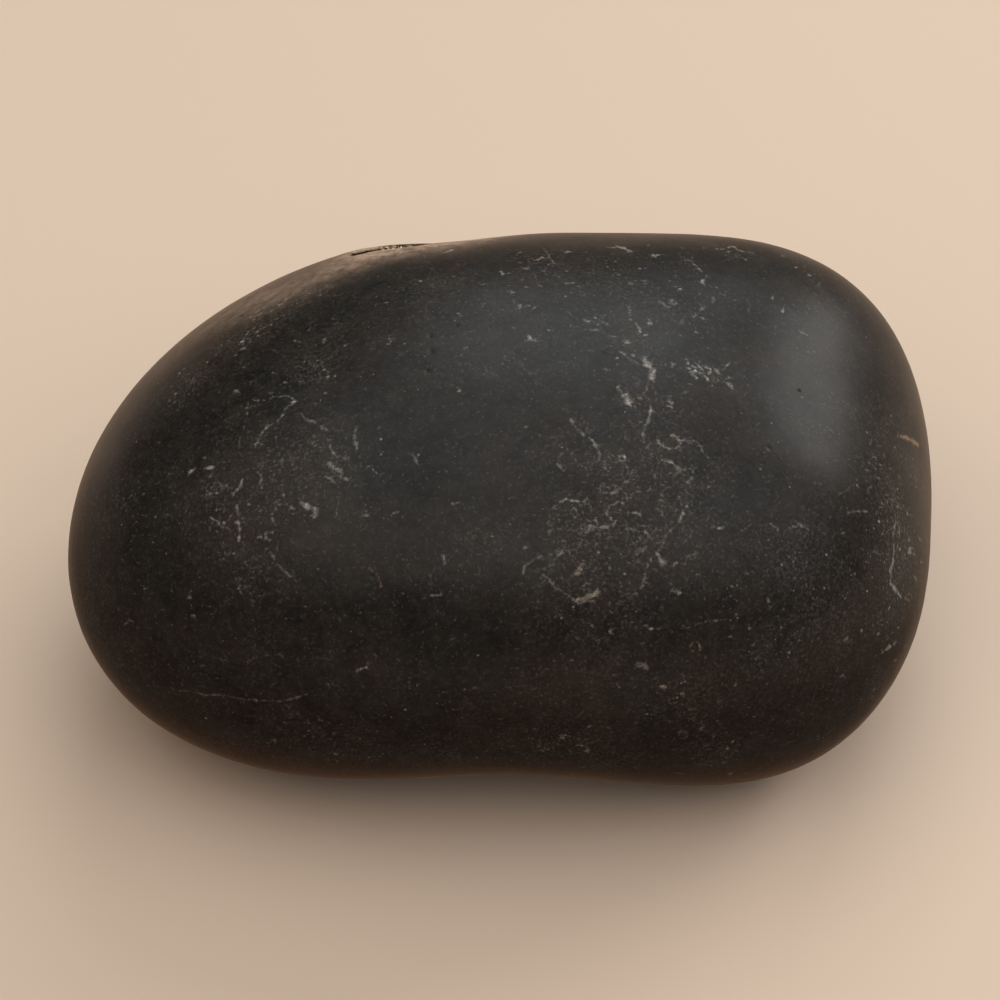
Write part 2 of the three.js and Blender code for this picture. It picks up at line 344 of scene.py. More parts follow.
# %% Scrapes on the far rim
FAR_RIM_VEINS = [
    (1.1, 0.35, 0.5, [(26.2, 29.1), (27.0, 29.2), (27.4, 28.8), (28.5, 28.6)]),
    (0.5, 0.3, 0.5, [(28.5, 28.6), (29.2, 28.5)]),
    (1.0, 0.3, 0.3, [(27.3, 28.0), (27.7, 28.0), (28.3, 27.7)]),
    (0.8, 0.25, 0.4, [(12.4, 29.1), (13.5, 29.1)]),
    (1.2, 0.45, 0.4, [(13.6, 29.2), (14.5, 28.9), (15.3, 28.6)]),
    (0.8, 0.2, 0.3, [(20.5, 29.2), (21.1, 29.0)]),
    (1.1, 0.35, 0.4, [(4.0, 27.6), (4.9, 27.9)]),
    (0.8, 0.3, 0.3, [(2.6, 26.8), (3.4, 26.6)]),
    (0.6, 0.2, 0.2, [(1.9, 28.0), (2.3, 28.5), (2.8, 28.6)]),
    (0.5, 0.25, 0.4, [(5.1, 28.9), (5.4, 28.5), (5.9, 27.7), (6.2, 27.3)]),
    (0.8, 0.3, 0.0, [(0.1, 26.5), (0.4, 26.0)]),
    (0.5, 0.25, 0.1, [(4.0, 25.9), (4.5, 24.7)]),
    (1.2, 0.3, 0.6, [(-6.4, 28.5), (-5.2, 28.9)]),
    (0.9, 0.3, 0.4, [(-29.0, 21.0), (-28.0, 21.2), (-27.4, 21.5)]),
    (1.1, 0.3, 0.3, [(-28.3, 20.8), (-27.7, 20.9)]),
    (1.0, 0.3, 0.4, [(-28.1, 21.5), (-27.3, 22.1), (-26.7, 22.3)]),
    (0.8, 0.25, 0.5, [(-28.1, 22.1), (-27.5, 22.7)]),
    (0.7, 0.3, 0.4, [(-26.1, 22.4), (-25.6, 22.5)]),
    (1.0, 0.35, 0.4, [(-25.2, 22.5), (-24.8, 22.8), (-24.2, 23.3)]),
    (0.6, 0.25, 0.8, [(-30.9, 21.6), (-29.8, 22.1), (-29.1, 22.7)]),
    (0.8, 0.35, 0.6, [(-22.1, 23.6), (-21.5, 23.9)]),
    (0.9, 0.2, 0.2, [(-20.6, 24.2), (-20.6, 23.6)]),
    (0.6, 0.3, 0.4, [(-28.0, 19.3), (-27.1, 19.9)]),
    (0.8, 0.3, 0.3, [(-29.9, 17.2), (-29.6, 17.4), (-29.2, 17.5)]),
    (0.4, 0.25, 0.1, [(-30.9, 16.6), (-30.0, 16.8)]),
    (0.6, 0.3, 0.1, [(-32.6, 16.6), (-32.3, 17.0)]),
    (1.0, 0.2, 0.0, [(-23.6, 18.5), (-22.9, 18.2)]),
    (0.6, 0.2, 0.1, [(-22.6, 19.1), (-21.7, 19.8)]),
    (0.8, 0.35, 0.1, [(-20.0, 18.7), (-20.2, 18.1)]),
    (0.7, 0.3, 0.3, [(-17.9, 17.7), (-17.2, 18.1)]),
    (0.6, 0.3, 0.1, [(-21.7, 15.5), (-21.1, 15.8)]),
    (0.7, 0.25, 0.1, [(-37.4, 12.1), (-36.8, 12.3)]),
    (0.5, 0.35, 0.0, [(-12.8, 19.0), (-12.5, 18.2)]),
    (1.0, 0.35, 0.3, [(-28.0, 22.6), (-27.4, 22.9)]),
    (0.8, 0.3, 0.3, [(-29.3, 23.3), (-28.8, 23.6), (-28.3, 23.7)]),
    (0.6, 0.25, 0.4, [(-33.0, 20.6), (-31.4, 21.5), (-30.3, 22.0)]),
    (0.5, 0.25, 0.4, [(-30.6, 20.3), (-29.6, 20.7), (-28.9, 21.0)]),
    (0.7, 0.3, 0.4, [(-26.2, 23.6), (-25.4, 24.0), (-24.6, 24.3)]),
    (0.9, 0.3, 0.3, [(-24.2, 24.6), (-23.4, 24.8), (-22.8, 25.2)]),
    (0.5, 0.25, 0.4, [(-20.9, 25.4), (-19.6, 25.9), (-18.8, 26.1)]),
    (0.5, 0.25, 0.4, [(-17.4, 26.6), (-16.2, 26.9), (-15.0, 26.9)]),
    (0.4, 0.25, 0.4, [(-36.0, 17.8), (-34.6, 18.9)]),
    (1.1, 0.45, 0.3, [(-6.3, 28.6), (-5.6, 28.8), (-5.0, 29.0)]),
    (0.6, 0.25, 0.2, [(-10.3, 24.6), (-9.7, 25.0)]),
]
print(len(FAR_RIM_VEINS), "scrapes on the far rim")

# %% Veins and scrapes of the blunt end
BLUNT_END_VEINS = [
    (1.2, 0.55, 0.9, [(45.8, 7.4), (46.9, 7.1), (48.1, 6.4)]),
    (0.6, 0.25, 0.4, [(45.5, 0.1), (46.1, -1.0)]),
    (0.95, 0.25, 0.3, [(45.6, -2.3), (45.2, -3.8), (45.4, -5.4), (45.2, -7.2)]),
    (1.6, 0.38, 0.15, [(45.2, -7.2), (45.0, -8.1), (45.0, -9.5), (45.6, -10.4), (46.2, -11.2)]),
    (0.7, 0.25, 0.3, [(45.9, -3.3), (46.0, -4.0)]),
    (1.1, 0.35, 0.4, [(46.8, -1.1), (46.9, -1.7)]),
    (0.8, 0.25, 0.2, [(45.8, 3.1), (45.9, 2.3)]),
    (0.8, 0.3, 0.1, [(44.0, -4.0), (44.2, -3.6)]),
    (0.7, 0.25, 0.1, [(43.1, -5.7), (43.4, -6.1)]),
    (0.5, 0.3, 0.1, [(42.6, 6.5), (42.8, 6.9)]),
    (0.9, 0.3, 0.5, [(48.2, -4.3), (48.4, -4.7)]),
    (0.9, 0.35, 0.7, [(49.4, -2.0), (49.7, -2.9)]),
    (0.9, 0.3, 0.6, [(49.3, -6.9), (49.3, -7.7)]),
    (0.8, 0.25, 0.2, [(44.9, -12.3), (44.7, -12.7)]),
    (0.8, 0.3, 0.5, [(47.6, -8.7), (47.9, -9.3)]),
    (0.7, 0.3, 0.1, [(39.6, -16.2), (40.1, -15.8)]),
    (0.7, 0.2, 0.1, [(39.9, -1.5), (41.1, -1.3), (42.2, -1.4)]),
    (0.4, 0.25, 0.1, [(39.0, 0.5), (40.2, 1.3), (41.1, 2.4)]),
    (0.9, 0.45, 0.3, [(43.9, -17.6), (44.9, -16.9), (45.6, -16.3)]),
    (0.5, 0.2, 0.2, [(42.4, -7.5), (42.7, -6.2)]),
    (0.5, 0.2, 0.1, [(45.8, 2.9), (46.0, 2.2)]),
    (0.5, 0.25, 0.1, [(31.1, -2.7), (32.0, -3.3), (32.2, -4.2)]),
    (0.6, 0.25, 0.0, [(33.4, -3.2), (34.5, -2.9), (35.6, -3.4)]),
    (0.6, 0.25, 0.0, [(30.8, -11.2), (31.2, -12.1)]),
]
print(len(BLUNT_END_VEINS), "veins and scrapes at the blunt end")

# %% Veins low on the front
LOW_FRONT_VEINS = [
    (0.6, 0.2, 0.3, [(-37.5, -21.8), (-34.8, -22.2), (-33.6, -22.5), (-32.2, -22.4), (-30.4, -22.8)]),
    (0.7, 0.2, 0.3, [(-30.4, -22.8), (-28.2, -23.1), (-25.3, -23.2), (-23.7, -22.9), (-22.3, -22.4)]),
    (0.4, 0.2, 0.1, [(19.8, -15.2), (22.6, -14.4), (24.3, -13.9), (26.2, -13.7)]),
    (0.7, 0.2, 0.1, [(-42.9, -14.2), (-42.5, -13.8), (-42.1, -14.0)]),
    (0.8, 0.2, 0.4, [(21.6, -25.1), (22.6, -25.3)]),
    (1.0, 0.25, 0.6, [(20.4, -31.5), (21.0, -31.5)]),
    (1.1, 0.35, 0.4, [(16.5, -19.0), (17.0, -19.4)]),
    (1.0, 0.35, 0.6, [(18.2, -21.4), (19.1, -21.5)]),
    (0.5, 0.25, 0.2, [(21.2, -20.2), (21.3, -20.9)]),
    (0.7, 0.25, 0.1, [(18.0, -14.8), (18.6, -14.6)]),
    (0.8, 0.3, 0.1, [(12.6, -15.1), (12.9, -15.4)]),
    (0.5, 0.25, 0.1, [(13.5, -21.2), (13.8, -21.6)]),
    (0.9, 0.3, 0.4, [(7.0, -27.1), (7.5, -27.1)]),
    (0.6, 0.2, 0.1, [(-26.3, -27.6), (-25.3, -27.6)]),
    (0.8, 0.25, 0.0, [(-6.5, -6.4), (-6.4, -7.3)]),
    (0.7, 0.25, 0.0, [(-7.9, -10.9), (-6.7, -10.9)]),
    (0.6, 0.3, 0.4, [(-12.9, -2.1), (-12.1, -1.6), (-11.6, -1.3)]),
    (0.6, 0.3, 0.0, [(-9.8, 5.1), (-9.4, 4.3)]),
    (0.6, 0.3, 0.3, [(-5.4, -0.4), (-4.6, -0.3)]),
    (0.6, 0.35, 0.1, [(-16.4, -19.7), (-15.3, -19.2)]),
]
VEINS = RING_VEINS + NEST_VEINS + UPPER_RIGHT_VEINS + FAR_RIM_VEINS + BLUNT_END_VEINS + LOW_FRONT_VEINS
print(len(VEINS), "veins are drawn by hand")

# %% [markdown]
# Besides the veins there are spots, small rings left by tiny shells, and clouds, where rubbing has
# opened the skin into a patch of pale dots. Round the nests of veins the stone is stained a dull
# brown. A spot or a ring is its place on the sheet, its radius in mm, how strongly it shows and its
# tone. A cloud or a stain is only a place, a radius and a strength: the material fills it.

# %% Spots
SPOTS = [
    (-33.9, 4.9, 0.3, 0.9, 0.0), (-33.1, 2.7, 0.25, 0.8, 0.0), (-33.2, 0.7, 0.45, 1.0, 0.0),
    (-32.5, 0.7, 0.2, 0.9, 0.0), (-17.8, 4.8, 0.35, 0.9, 0.0), (-27.3, 4.8, 0.25, 0.8, 0.1),
    (-26.5, 3.8, 0.2, 0.7, 0.1), (-15.4, -1.8, 0.5, 0.9, 0.0), (-15.2, -1.2, 0.25, 0.7, 0.0),
    (-32.0, -1.0, 0.25, 0.8, 0.0), (-30.5, -6.2, 0.3, 0.8, 0.0), (-35.5, -10.4, 0.25, 0.7, 0.1),
    (-35.7, -11.2, 0.3, 0.7, 0.3), (-33.5, -12.3, 0.35, 0.7, 0.1), (-13.1, -6.6, 0.35, 0.7, 0.0),
    (-36.9, 10.4, 0.3, 0.8, 0.5), (12.2, 15.1, 0.35, 0.8, 0.1), (10.7, 11.6, 0.3, 0.8, 0.0),
    (11.4, 13.7, 0.2, 0.5, 0.1), (16.2, 9.0, 0.3, 1.0, 0.0), (19.9, 7.4, 0.45, 1.2, 0.7),
    (15.8, 5.7, 0.25, 0.7, 0.1), (21.6, -0.7, 0.25, 1.1, 0.0), (22.1, -1.5, 0.3, 0.9, 0.0),
    (13.8, -1.1, 0.22, 0.8, 0.1), (16.0, 0.9, 0.35, 0.7, 0.2), (17.3, 1.2, 0.35, 0.6, 0.2),
    (16.9, -9.5, 0.4, 0.8, 0.1), (10.0, -3.6, 0.4, 0.8, 0.3), (11.1, -3.1, 0.4, 0.8, 0.2),
    (12.2, -3.1, 0.4, 0.8, 0.2), (3.0, 8.4, 0.22, 1.0, 0.1), (1.2, 0.2, 0.22, 0.8, 0.1),
    (25.2, -3.2, 0.22, 1.1, 0.0), (27.8, -10.1, 0.2, 1.0, 0.0), (24.2, 1.5, 0.35, 0.7, 0.2),
    (22.8, -8.6, 0.35, 0.7, 0.2), (20.5, -10.7, 0.4, 0.6, 0.3), (23.1, -5.2, 0.3, 0.7, 0.1),
    (3.0, -5.5, 0.35, 0.7, 0.1), (28.4, -8.5, 0.35, 0.8, 0.4), (17.3, 20.4, 0.45, 1.3, 0.0),
    (23.3, 21.0, 0.45, 0.8, 0.0), (20.7, 19.0, 0.22, 0.8, 0.0), (23.3, 18.7, 0.18, 0.9, 0.0),
    (18.2, 28.3, 0.5, 0.7, 0.8), (42.1, 21.6, 0.18, 0.9, 0.2), (30.0, 3.6, 0.25, 1.1, 0.0),
    (38.6, 4.6, 0.2, 0.8, 0.1), (34.9, 11.9, 0.22, 0.8, 0.0), (47.0, 1.6, 0.3, 0.8, 0.3),
    (43.7, 2.4, 0.25, 0.8, 0.1), (19.5, -23.4, 0.25, 1.1, 0.1), (25.4, -23.1, 0.28, 0.9, 0.1),
    (31.1, -14.5, 0.3, 0.7, 0.6), (28.7, -14.9, 0.18, 1.1, 0.0), (27.2, -13.2, 0.35, 0.5, 0.5),
    (33.2, -18.1, 0.18, 1.0, 0.1), (7.2, -27.2, 0.4, 0.8, 0.4), (10.3, -26.1, 0.25, 0.7, 0.6),
    (-8.0, 15.5, 0.5, 0.6, 0.0), (-4.6, 12.6, 0.4, 0.8, 0.0), (-2.2, 10.8, 0.25, 0.7, 0.0),
    (-6.1, 20.6, 0.35, 0.5, 0.1), (-9.0, 25.3, 0.3, 0.7, 0.2), (-7.7, 24.8, 0.3, 0.6, 0.2),
    (-9.9, 22.8, 0.2, 0.9, 0.1), (-13.0, 22.7, 0.22, 0.6, 0.2), (-15.2, 25.5, 0.2, 0.7, 0.3),
    (-22.0, 23.7, 0.4, 0.5, 0.6), (-41.7, 6.7, 0.18, 0.9, 0.1), (-41.4, 5.9, 0.18, 0.7, 0.1),
    (-39.0, 6.7, 0.22, 0.8, 0.1), (-44.0, 0.5, 0.18, 0.8, 0.1), (-42.3, 0.5, 0.22, 1.0, 0.1),
    (-40.9, 0.8, 0.22, 1.0, 0.1), (-43.1, -0.6, 0.18, 0.8, 0.2), (-45.3, 0.0, 0.18, 0.7, 0.2),
    (-42.1, -1.8, 0.18, 0.7, 0.1), (-41.0, -1.8, 0.18, 0.8, 0.1), (-39.5, -2.0, 0.18, 0.7, 0.1),
    (-45.1, -2.9, 0.2, 0.8, 0.2), (-38.4, -3.2, 0.3, 0.6, 0.0), (-39.7, -4.8, 0.3, 0.7, 0.0),
    (-40.7, -10.1, 0.2, 0.8, 0.2), (-35.1, -13.3, 0.4, 0.6, 0.1), (-38.7, -12.6, 0.3, 0.5, 0.2),
    (-37.5, -14.3, 0.25, 0.7, 0.2), (-34.3, -16.6, 0.25, 0.7, 0.1), (-41.4, -21.9, 0.2, 0.9, 0.3),
    (-47.3, -15.4, 0.25, 0.7, 0.8), (-8.0, 1.5, 0.25, 0.5, 0.1), (-0.9, -4.2, 0.3, 0.7, 0.2),
    (-3.0, -21.6, 0.25, 0.7, 0.3), (-12.5, -23.2, 0.25, 0.6, 0.4), (-5.2, -24.1, 0.35, 0.6, 0.5),
    (1.0, 26.1, 0.25, 0.9, 0.1), (1.2, 25.1, 0.28, 0.7, 0.1), (2.7, 25.3, 0.3, 1.0, 0.0),
    (3.0, 24.5, 0.28, 0.8, 0.1), (1.6, 23.9, 0.3, 1.1, 0.0), (2.3, 22.5, 0.3, 0.9, 0.0),
    (3.4, 22.4, 0.3, 0.7, 0.1), (4.1, 22.1, 0.25, 0.6, 0.0), (4.5, 24.7, 0.28, 0.6, 0.0),
    (5.1, 26.4, 0.28, 0.7, 0.1), (2.2, 27.3, 0.25, 0.6, 0.2), (8.0, 28.6, 0.45, 1.0, 0.3),
    (8.8, 29.1, 0.25, 0.8, 0.3), (7.6, 26.4, 0.25, 0.6, 0.1), (6.8, 25.7, 0.4, 0.6, 0.1),
    (7.8, 25.0, 0.4, 0.6, 0.1), (8.5, 25.0, 0.45, 0.9, 0.1), (9.1, 24.6, 0.3, 0.6, 0.0),
    (7.6, 23.5, 0.32, 0.8, 0.1), (8.2, 23.9, 0.3, 0.5, 0.1), (10.4, 26.2, 0.3, 0.6, 0.0),
    (13.0, 25.9, 0.25, 0.9, 0.0), (13.8, 25.9, 0.28, 0.7, 0.1), (13.5, 25.6, 0.28, 0.7, 0.1),
    (-1.7, 24.9, 0.32, 0.6, 0.3), (-1.7, 22.6, 0.3, 0.5, 0.0), (-5.3, 25.8, 0.38, 0.6, 0.3),
    (-4.6, 21.5, 0.32, 0.6, 0.0), (-3.7, 17.6, 0.25, 0.7, 0.0), (1.9, 19.8, 0.25, 0.5, 0.0),
    (10.2, 20.6, 0.32, 0.8, 0.0), (11.1, 19.7, 0.4, 0.8, 0.1), (12.1, 21.3, 0.25, 0.6, 0.0),
    (13.1, 18.9, 0.3, 1.0, 0.0), (21.9, 13.4, 0.35, 1.2, 0.0), (26.4, 14.1, 0.3, 0.9, 0.1),
    (14.7, 18.2, 0.32, 1.1, 0.0), (15.5, 25.2, 0.38, 0.8, 0.1),
    (15.2, 24.9, 0.36, 0.6, 0.1), (10.3, 17.2, 0.24, 0.9, 0.0), (13.5, 16.4, 0.3, 1.0, 0.1),
    (17.9, 28.2, 0.8, 1.2, 0.3), (18.8, 28.3, 0.3, 0.8, 0.3), (19.3, 28.2, 0.3, 0.7, 0.3),
    (17.1, 29.3, 0.25, 0.7, 0.3), (24.1, 24.7, 0.3, 1.0, 0.0), (24.8, 24.5, 0.32, 1.1, 0.0),
    (23.7, 23.7, 0.4, 0.5, 0.1), (16.4, 24.0, 0.24, 1.0, 0.0), (20.7, 24.3, 0.24, 1.0, 0.0),
    (20.1, 22.6, 0.45, 0.8, 0.0), (19.8, 22.9, 0.28, 0.7, 0.0), (17.8, 23.2, 0.2, 0.6, 0.0),
    (16.8, 19.1, 0.32, 0.7, 0.0), (22.6, 19.4, 0.26, 0.7, 0.0), (25.9, 23.6, 0.26, 0.8, 0.0),
    (27.1, 23.0, 0.22, 1.0, 0.0), (25.6, 28.9, 0.35, 1.0, 0.5), (26.1, 27.7, 0.4, 0.7, 0.6),
    (32.5, 28.1, 0.32, 0.8, 0.5), (35.6, 25.9, 0.28, 1.1, 0.0), (35.0, 26.9, 0.35, 0.6, 0.4),
    (36.7, 24.9, 0.26, 0.8, 0.1), (43.3, 4.9, 0.28, 0.9, 0.1), (42.5, 4.2, 0.28, 1.1, 0.1),
    (43.8, 4.0, 0.28, 0.9, 0.1), (42.2, 3.4, 0.22, 0.7, 0.1), (40.2, 4.6, 0.22, 0.7, 0.0),
    (43.6, 2.5, 0.3, 0.9, 0.1), (44.8, 1.6, 0.28, 0.9, 0.2), (43.7, 1.5, 0.24, 0.7, 0.1),
    (42.3, 2.1, 0.25, 0.6, 0.1), (42.6, 1.6, 0.25, 0.6, 0.1), (42.4, 1.1, 0.25, 0.6, 0.1),
    (43.8, -0.8, 0.28, 0.8, 0.1), (41.4, -1.3, 0.3, 1.1, 0.0), (42.2, -1.3, 0.3, 1.1, 0.0),
    (47.3, -1.8, 0.4, 0.7, 0.4), (45.8, -2.6, 0.28, 0.8, 0.2), (45.3, -3.6, 0.28, 0.7, 0.2),
    (43.0, -3.2, 0.26, 0.7, 0.1), (39.5, -3.8, 0.3, 1.1, 0.0), (47.1, -6.0, 0.26, 1.0, 0.3),
    (47.4, -5.5, 0.28, 1.0, 0.3), (47.6, -6.3, 0.24, 1.0, 0.3), (41.7, -5.7, 0.35, 0.7, 0.0),
    (48.5, -7.2, 0.4, 1.2, 0.4), (40.4, -8.7, 0.34, 1.2, 0.0), (42.3, -10.5, 0.28, 0.8, 0.2),
    (39.7, -11.3, 0.26, 0.8, 0.1), (39.6, -12.9, 0.3, 1.0, 0.1), (41.6, -15.0, 0.28, 1.2, 0.1),
    (46.4, -13.5, 0.28, 1.1, 0.2), (45.8, -14.7, 0.35, 0.9, 0.3), (45.5, -18.5, 0.35, 0.9, 0.4),
    (46.5, -16.9, 0.22, 0.8, 0.3), (39.4, -20.2, 0.35, 0.8, 0.2), (42.2, -20.7, 0.26, 0.7, 0.3),
    (10.7, -14.5, 0.28, 0.8, 0.1), (15.2, -14.1, 0.35, 0.9, 0.1), (16.8, -14.4, 0.26, 0.9, 0.1),
    (17.4, -14.8, 0.3, 1.1, 0.0), (11.4, -16.1, 0.3, 0.8, 0.1), (26.5, -15.7, 0.28, 1.0, 0.0),
    (26.4, -17.2, 0.22, 0.7, 0.1), (29.2, -16.7, 0.22, 0.7, 0.1), (27.1, -21.3, 0.22, 0.8, 0.1),
    (21.8, -24.2, 0.22, 0.8, 0.1), (15.6, -25.7, 0.26, 0.7, 0.3), (12.5, -26.2, 0.22, 0.7, 0.2),
    (10.1, -28.8, 0.35, 0.9, 0.3), (9.4, -28.3, 0.32, 0.8, 0.3), (8.4, -18.4, 0.32, 0.7, 0.2),
    (9.6, -19.5, 0.26, 0.6, 0.3), (12.4, -19.7, 0.26, 0.6, 0.3), (10.3, -22.8, 0.26, 0.6, 0.3),
    (23.2, -26.4, 0.28, 0.7, 0.3), (28.4, -26.0, 0.22, 0.7, 0.3), (29.3, -24.9, 0.26, 1.0, 0.2),
    (28.6, -23.9, 0.22, 0.7, 0.3), (27.2, -28.9, 0.26, 0.9, 0.3), (25.7, -30.2, 0.28, 0.9, 0.5),
    (26.5, -31.6, 0.3, 1.1, 0.5), (-28.2, 19.8, 0.28, 1.1, 0.2), (-29.5, 18.3, 0.34, 1.1, 0.1),
    (-29.3, 18.6, 0.34, 0.9, 0.2), (-33.6, 15.9, 0.26, 0.9, 0.1), (-36.3, 15.1, 0.26, 0.7, 0.2),
    (-35.6, 14.7, 0.26, 0.7, 0.2), (-29.8, 15.7, 0.22, 0.8, 0.0), (-29.4, 15.2, 0.28, 1.2, 0.0),
    (-29.6, 14.6, 0.32, 0.7, 0.1), (-28.5, 13.6, 0.3, 0.8, 0.1), (-30.3, 12.6, 0.32, 1.1, 0.0),
    (-28.8, 15.7, 0.26, 0.6, 0.1), (-19.7, 14.3, 0.3, 1.0, 0.0), (-20.1, 15.0, 0.36, 0.7, 0.0),
    (-19.9, 12.3, 0.32, 0.8, 0.1), (-23.0, 13.7, 0.32, 0.6, 0.0), (-24.6, 13.6, 0.36, 0.6, 0.0),
    (-26.3, 12.3, 0.32, 0.7, 0.1), (-35.6, 12.2, 0.32, 0.6, 0.1),
]
print(len(SPOTS), "spots")

# %% Rings and clouds
RINGS = [
    (14.1, 4.8, 0.32, 1.0, 0.3), (16.6, -4.2, 0.6, 0.6, 0.2), (22.5, -16.9, 0.55, 0.9, 0.7),
    (47.0, -11.2, 0.36, 1.1, 0.4), (21.1, -27.0, 0.45, 0.6, 0.6),
]
CLOUDS = [
    (-33.4, 1.2, 1.1, 0.9), (-18.6, 3.3, 1.1, 0.8), (-28.3, -8.2, 1.3, 0.7), (-27.9, 6.8, 0.8, 0.7),
    (-25.5, 3.5, 5.5, 0.25), (-37.0, 12.0, 2.4, 0.5), (-21.3, 15.0, 2.2, 0.5), (-29.5, 18.2, 1.6, 0.6),
    (-38.0, 3.0, 2.2, 0.35), (-26.8, 21.8, 1.6, 0.6), (-33.5, -5.0, 3.5, 0.2), (-19.3, -21.2, 0.9, 0.8),
    (-31.8, -18.4, 0.8, 0.6), (-9.0, 24.6, 1.6, 0.4), (-43.0, 0.0, 3.2, 0.3),
    (9.1, 9.3, 1.1, 0.5), (17.3, 15.4, 1.0, 0.8), (14.7, 11.5, 0.9, 0.7), (23.5, 14.9, 1.3, 0.9),
    (22.4, 15.4, 1.0, 0.9), (24.7, 14.3, 1.0, 0.9), (10.9, -3.4, 1.9, 0.6), (16.6, -4.2, 1.2, 0.7),
    (10.0, -11.3, 1.0, 0.8), (12.5, -7.0, 5.0, 0.25), (19.5, 3.0, 6.0, 0.2), (14.5, 25.5, 4.0, 0.35),
    (11.5, 20.6, 1.1, 0.7), (19.0, 22.5, 4.0, 0.35), (22.5, 0.5, 1.8, 0.45), (15.0, -13.2, 1.4, 0.4),
    (30.3, -3.9, 1.3, 0.6), (34.6, -3.2, 1.3, 0.7), (33.5, -7.5, 2.4, 0.5), (39.4, -15.8, 1.1, 0.7),
    (43.2, 4.7, 1.2, 0.7), (47.4, -5.8, 0.6, 0.8), (45.5, -4.0, 4.5, 0.4), (34.1, -19.1, 0.7, 0.4),
    (5.2, -28.3, 1.0, 0.8), (9.6, -28.2, 0.8, 0.5), (15.5, -30.0, 1.0, 0.5), (4.5, -13.5, 2.4, 0.35),
    (39.0, -10.0, 4.0, 0.3), (27.0, 28.3, 1.6, 0.7), (14.8, 28.5, 1.2, 0.7), (4.0, 27.6, 1.2, 0.6),
    (0.0, 23.1, 4.0, 0.3), (6.9, 18.5, 3.5, 0.3), (4.6, 26.6, 2.5, 0.5), (16.2, 18.0, 2.5, 0.4),
    (23.1, -21.9, 4.0, 0.4), (30.0, -18.5, 3.0, 0.4), (17.3, -23.1, 3.0, 0.35), (43.9, -14.0, 3.0, 0.5),
    (-17.3, -28.9, 4.0, 0.45), (-5.8, -29.5, 4.0, 0.4), (11.5, -29.5, 4.0, 0.45), (23.1, -30.0, 3.0, 0.45),
    (44.0, 7.0, 3.0, 0.5), (45.0, 0.5, 3.5, 0.6), (45.5, -7.5, 3.5, 0.5), (47.5, 3.0, 2.5, 0.5),
    (-23.1, 23.1, 3.5, 0.5), (-27.7, 19.5, 3.5, 0.5), (-19.6, 19.6, 3.0, 0.4), (-34.6, 14.0, 3.0, 0.45),
    (48.5, -4.0, 2.2, 0.7), (48.6, -9.0, 2.0, 0.6), (48.0, -14.0, 2.0, 0.6), (46.5, -18.5, 2.2, 0.6),
    (43.5, -21.0, 2.5, 0.6), (5.4, 28.3, 0.8, 0.7), (13.8, 24.0, 1.4, 0.4), (-32.3, 17.5, 1.2, 0.7),
    (27.0, -28.5, 1.8, 0.5), (-22.5, 15.0, 3.5, 0.4), (47.3, -5.8, 0.9, 0.9), (21.5, 27.5, 2.0, 0.5),
    (36.0, -8.5, 4.5, 0.3), (35.5, -13.5, 4.5, 0.35), (29.0, -9.0, 4.0, 0.25), (46.0, -2.0, 4.0, 0.35),
    (46.5, -11.5, 3.5, 0.4), (44.5, 9.5, 3.0, 0.35),
]
print(len(RINGS), "rings and", len(CLOUDS), "clouds")

# %% Stains, and dust with a painted rim glow along the far rim
STAINS = [
    (-22.5, 4.5, 5.0, 0.9), (-30.5, -1.5, 4.5, 0.8), (-26.5, -9.0, 4.0, 0.7), (-31.0, 9.5, 4.0, 0.4),
    (11.0, -3.0, 5.5, 0.9), (17.0, 3.5, 5.5, 0.8), (10.0, -11.0, 4.5, 0.8), (17.5, 13.0, 3.5, 0.5),
    (20.0, -6.0, 4.5, 0.6), (7.5, 5.5, 3.5, 0.4), (15.5, -17.0, 4.0, 0.5), (45.0, -6.0, 4.0, 0.6),
    (6.0, -27.0, 5.0, 0.6), (-36.0, 14.0, 3.5, 0.6), (-27.0, 20.5, 4.0, 0.6), (-8.0, 25.5, 4.0, 0.5),
]
# Along the upper rim this tan is partly dust and partly a painted reflection of the pale floor, which the rim
# mirrors edge on.
DUST_AND_GLOW_ON_RIM = [
    (-38.2, 15.8, 2.8, 0.08), (-34.8, 18.8, 3.0, 0.12), (-31.3, 21.2, 3.6, 0.17), (-27.6, 22.9, 4.0, 0.21),
    (-24.0, 24.4, 4.2, 0.22), (-20.0, 25.9, 3.8, 0.22), (-17.0, 26.9, 2.6, 0.2),
]
MOUTH_DUST = [
    # place along and across the mouth and radius, in mm, and strength
    (8.0, 1.5, 3.2, 0.12), (5.5, 2.3, 3.2, 0.42), (3.0, 2.5, 3.4, 0.7), (0.5, 2.5, 3.6, 0.8),
    (-2.0, 2.5, 4.0, 0.8), (-4.5, 2.5, 4.2, 0.7), (-7.5, 2.5, 4.2, 0.6), (-10.5, 2.5, 3.8, 0.4),
    (4.6, -2.6, 2.2, 0.7), (2.2, -3.4, 2.2, 0.7),
]
print(len(STAINS), "stains and", len(DUST_AND_GLOW_ON_RIM) + len(MOUTH_DUST), "patches of dust")

# %% [markdown]
# A pen of one width would make the veins look like wire. So each is laid as a row of dabs, a tenth
# of a millimetre apart. Noise shakes the dabs and makes the line thick here and thin there. Noise
# vectors start from the clock unless the noise is given a seed, which keeps every run the same.

# %% Press the drawing onto the stone
INK_STEP = 0.1
# Half the width of the ink: in a vein and a spot as a share of what is drawn, in a ring in metres.
INK_HALF_WIDTH = 0.45
SPOT_HALF_WIDTH = 0.35
RING_HALF_WIDTH = 0.08 * MM
# A spot is a short stroke, this share of its radius to each side.
SPOT_STROKE = 0.3
# How wide a wobble is, and how far it shakes a dab.
WOBBLE_SIZE = 0.9 * MM
WOBBLE = 0.13 * MM
# How much and how often a line grows thick and thin, and the share of its strength that stays.
THICKNESS_CHANGE = 0.9
THICKNESS_RATE = 1.7
FIRM_SHARE = 0.55
INK_SEED = 5
noise.seed_set(INK_SEED)
marks = []
clouds = []
stains = []
dust_and_rim_glow = []


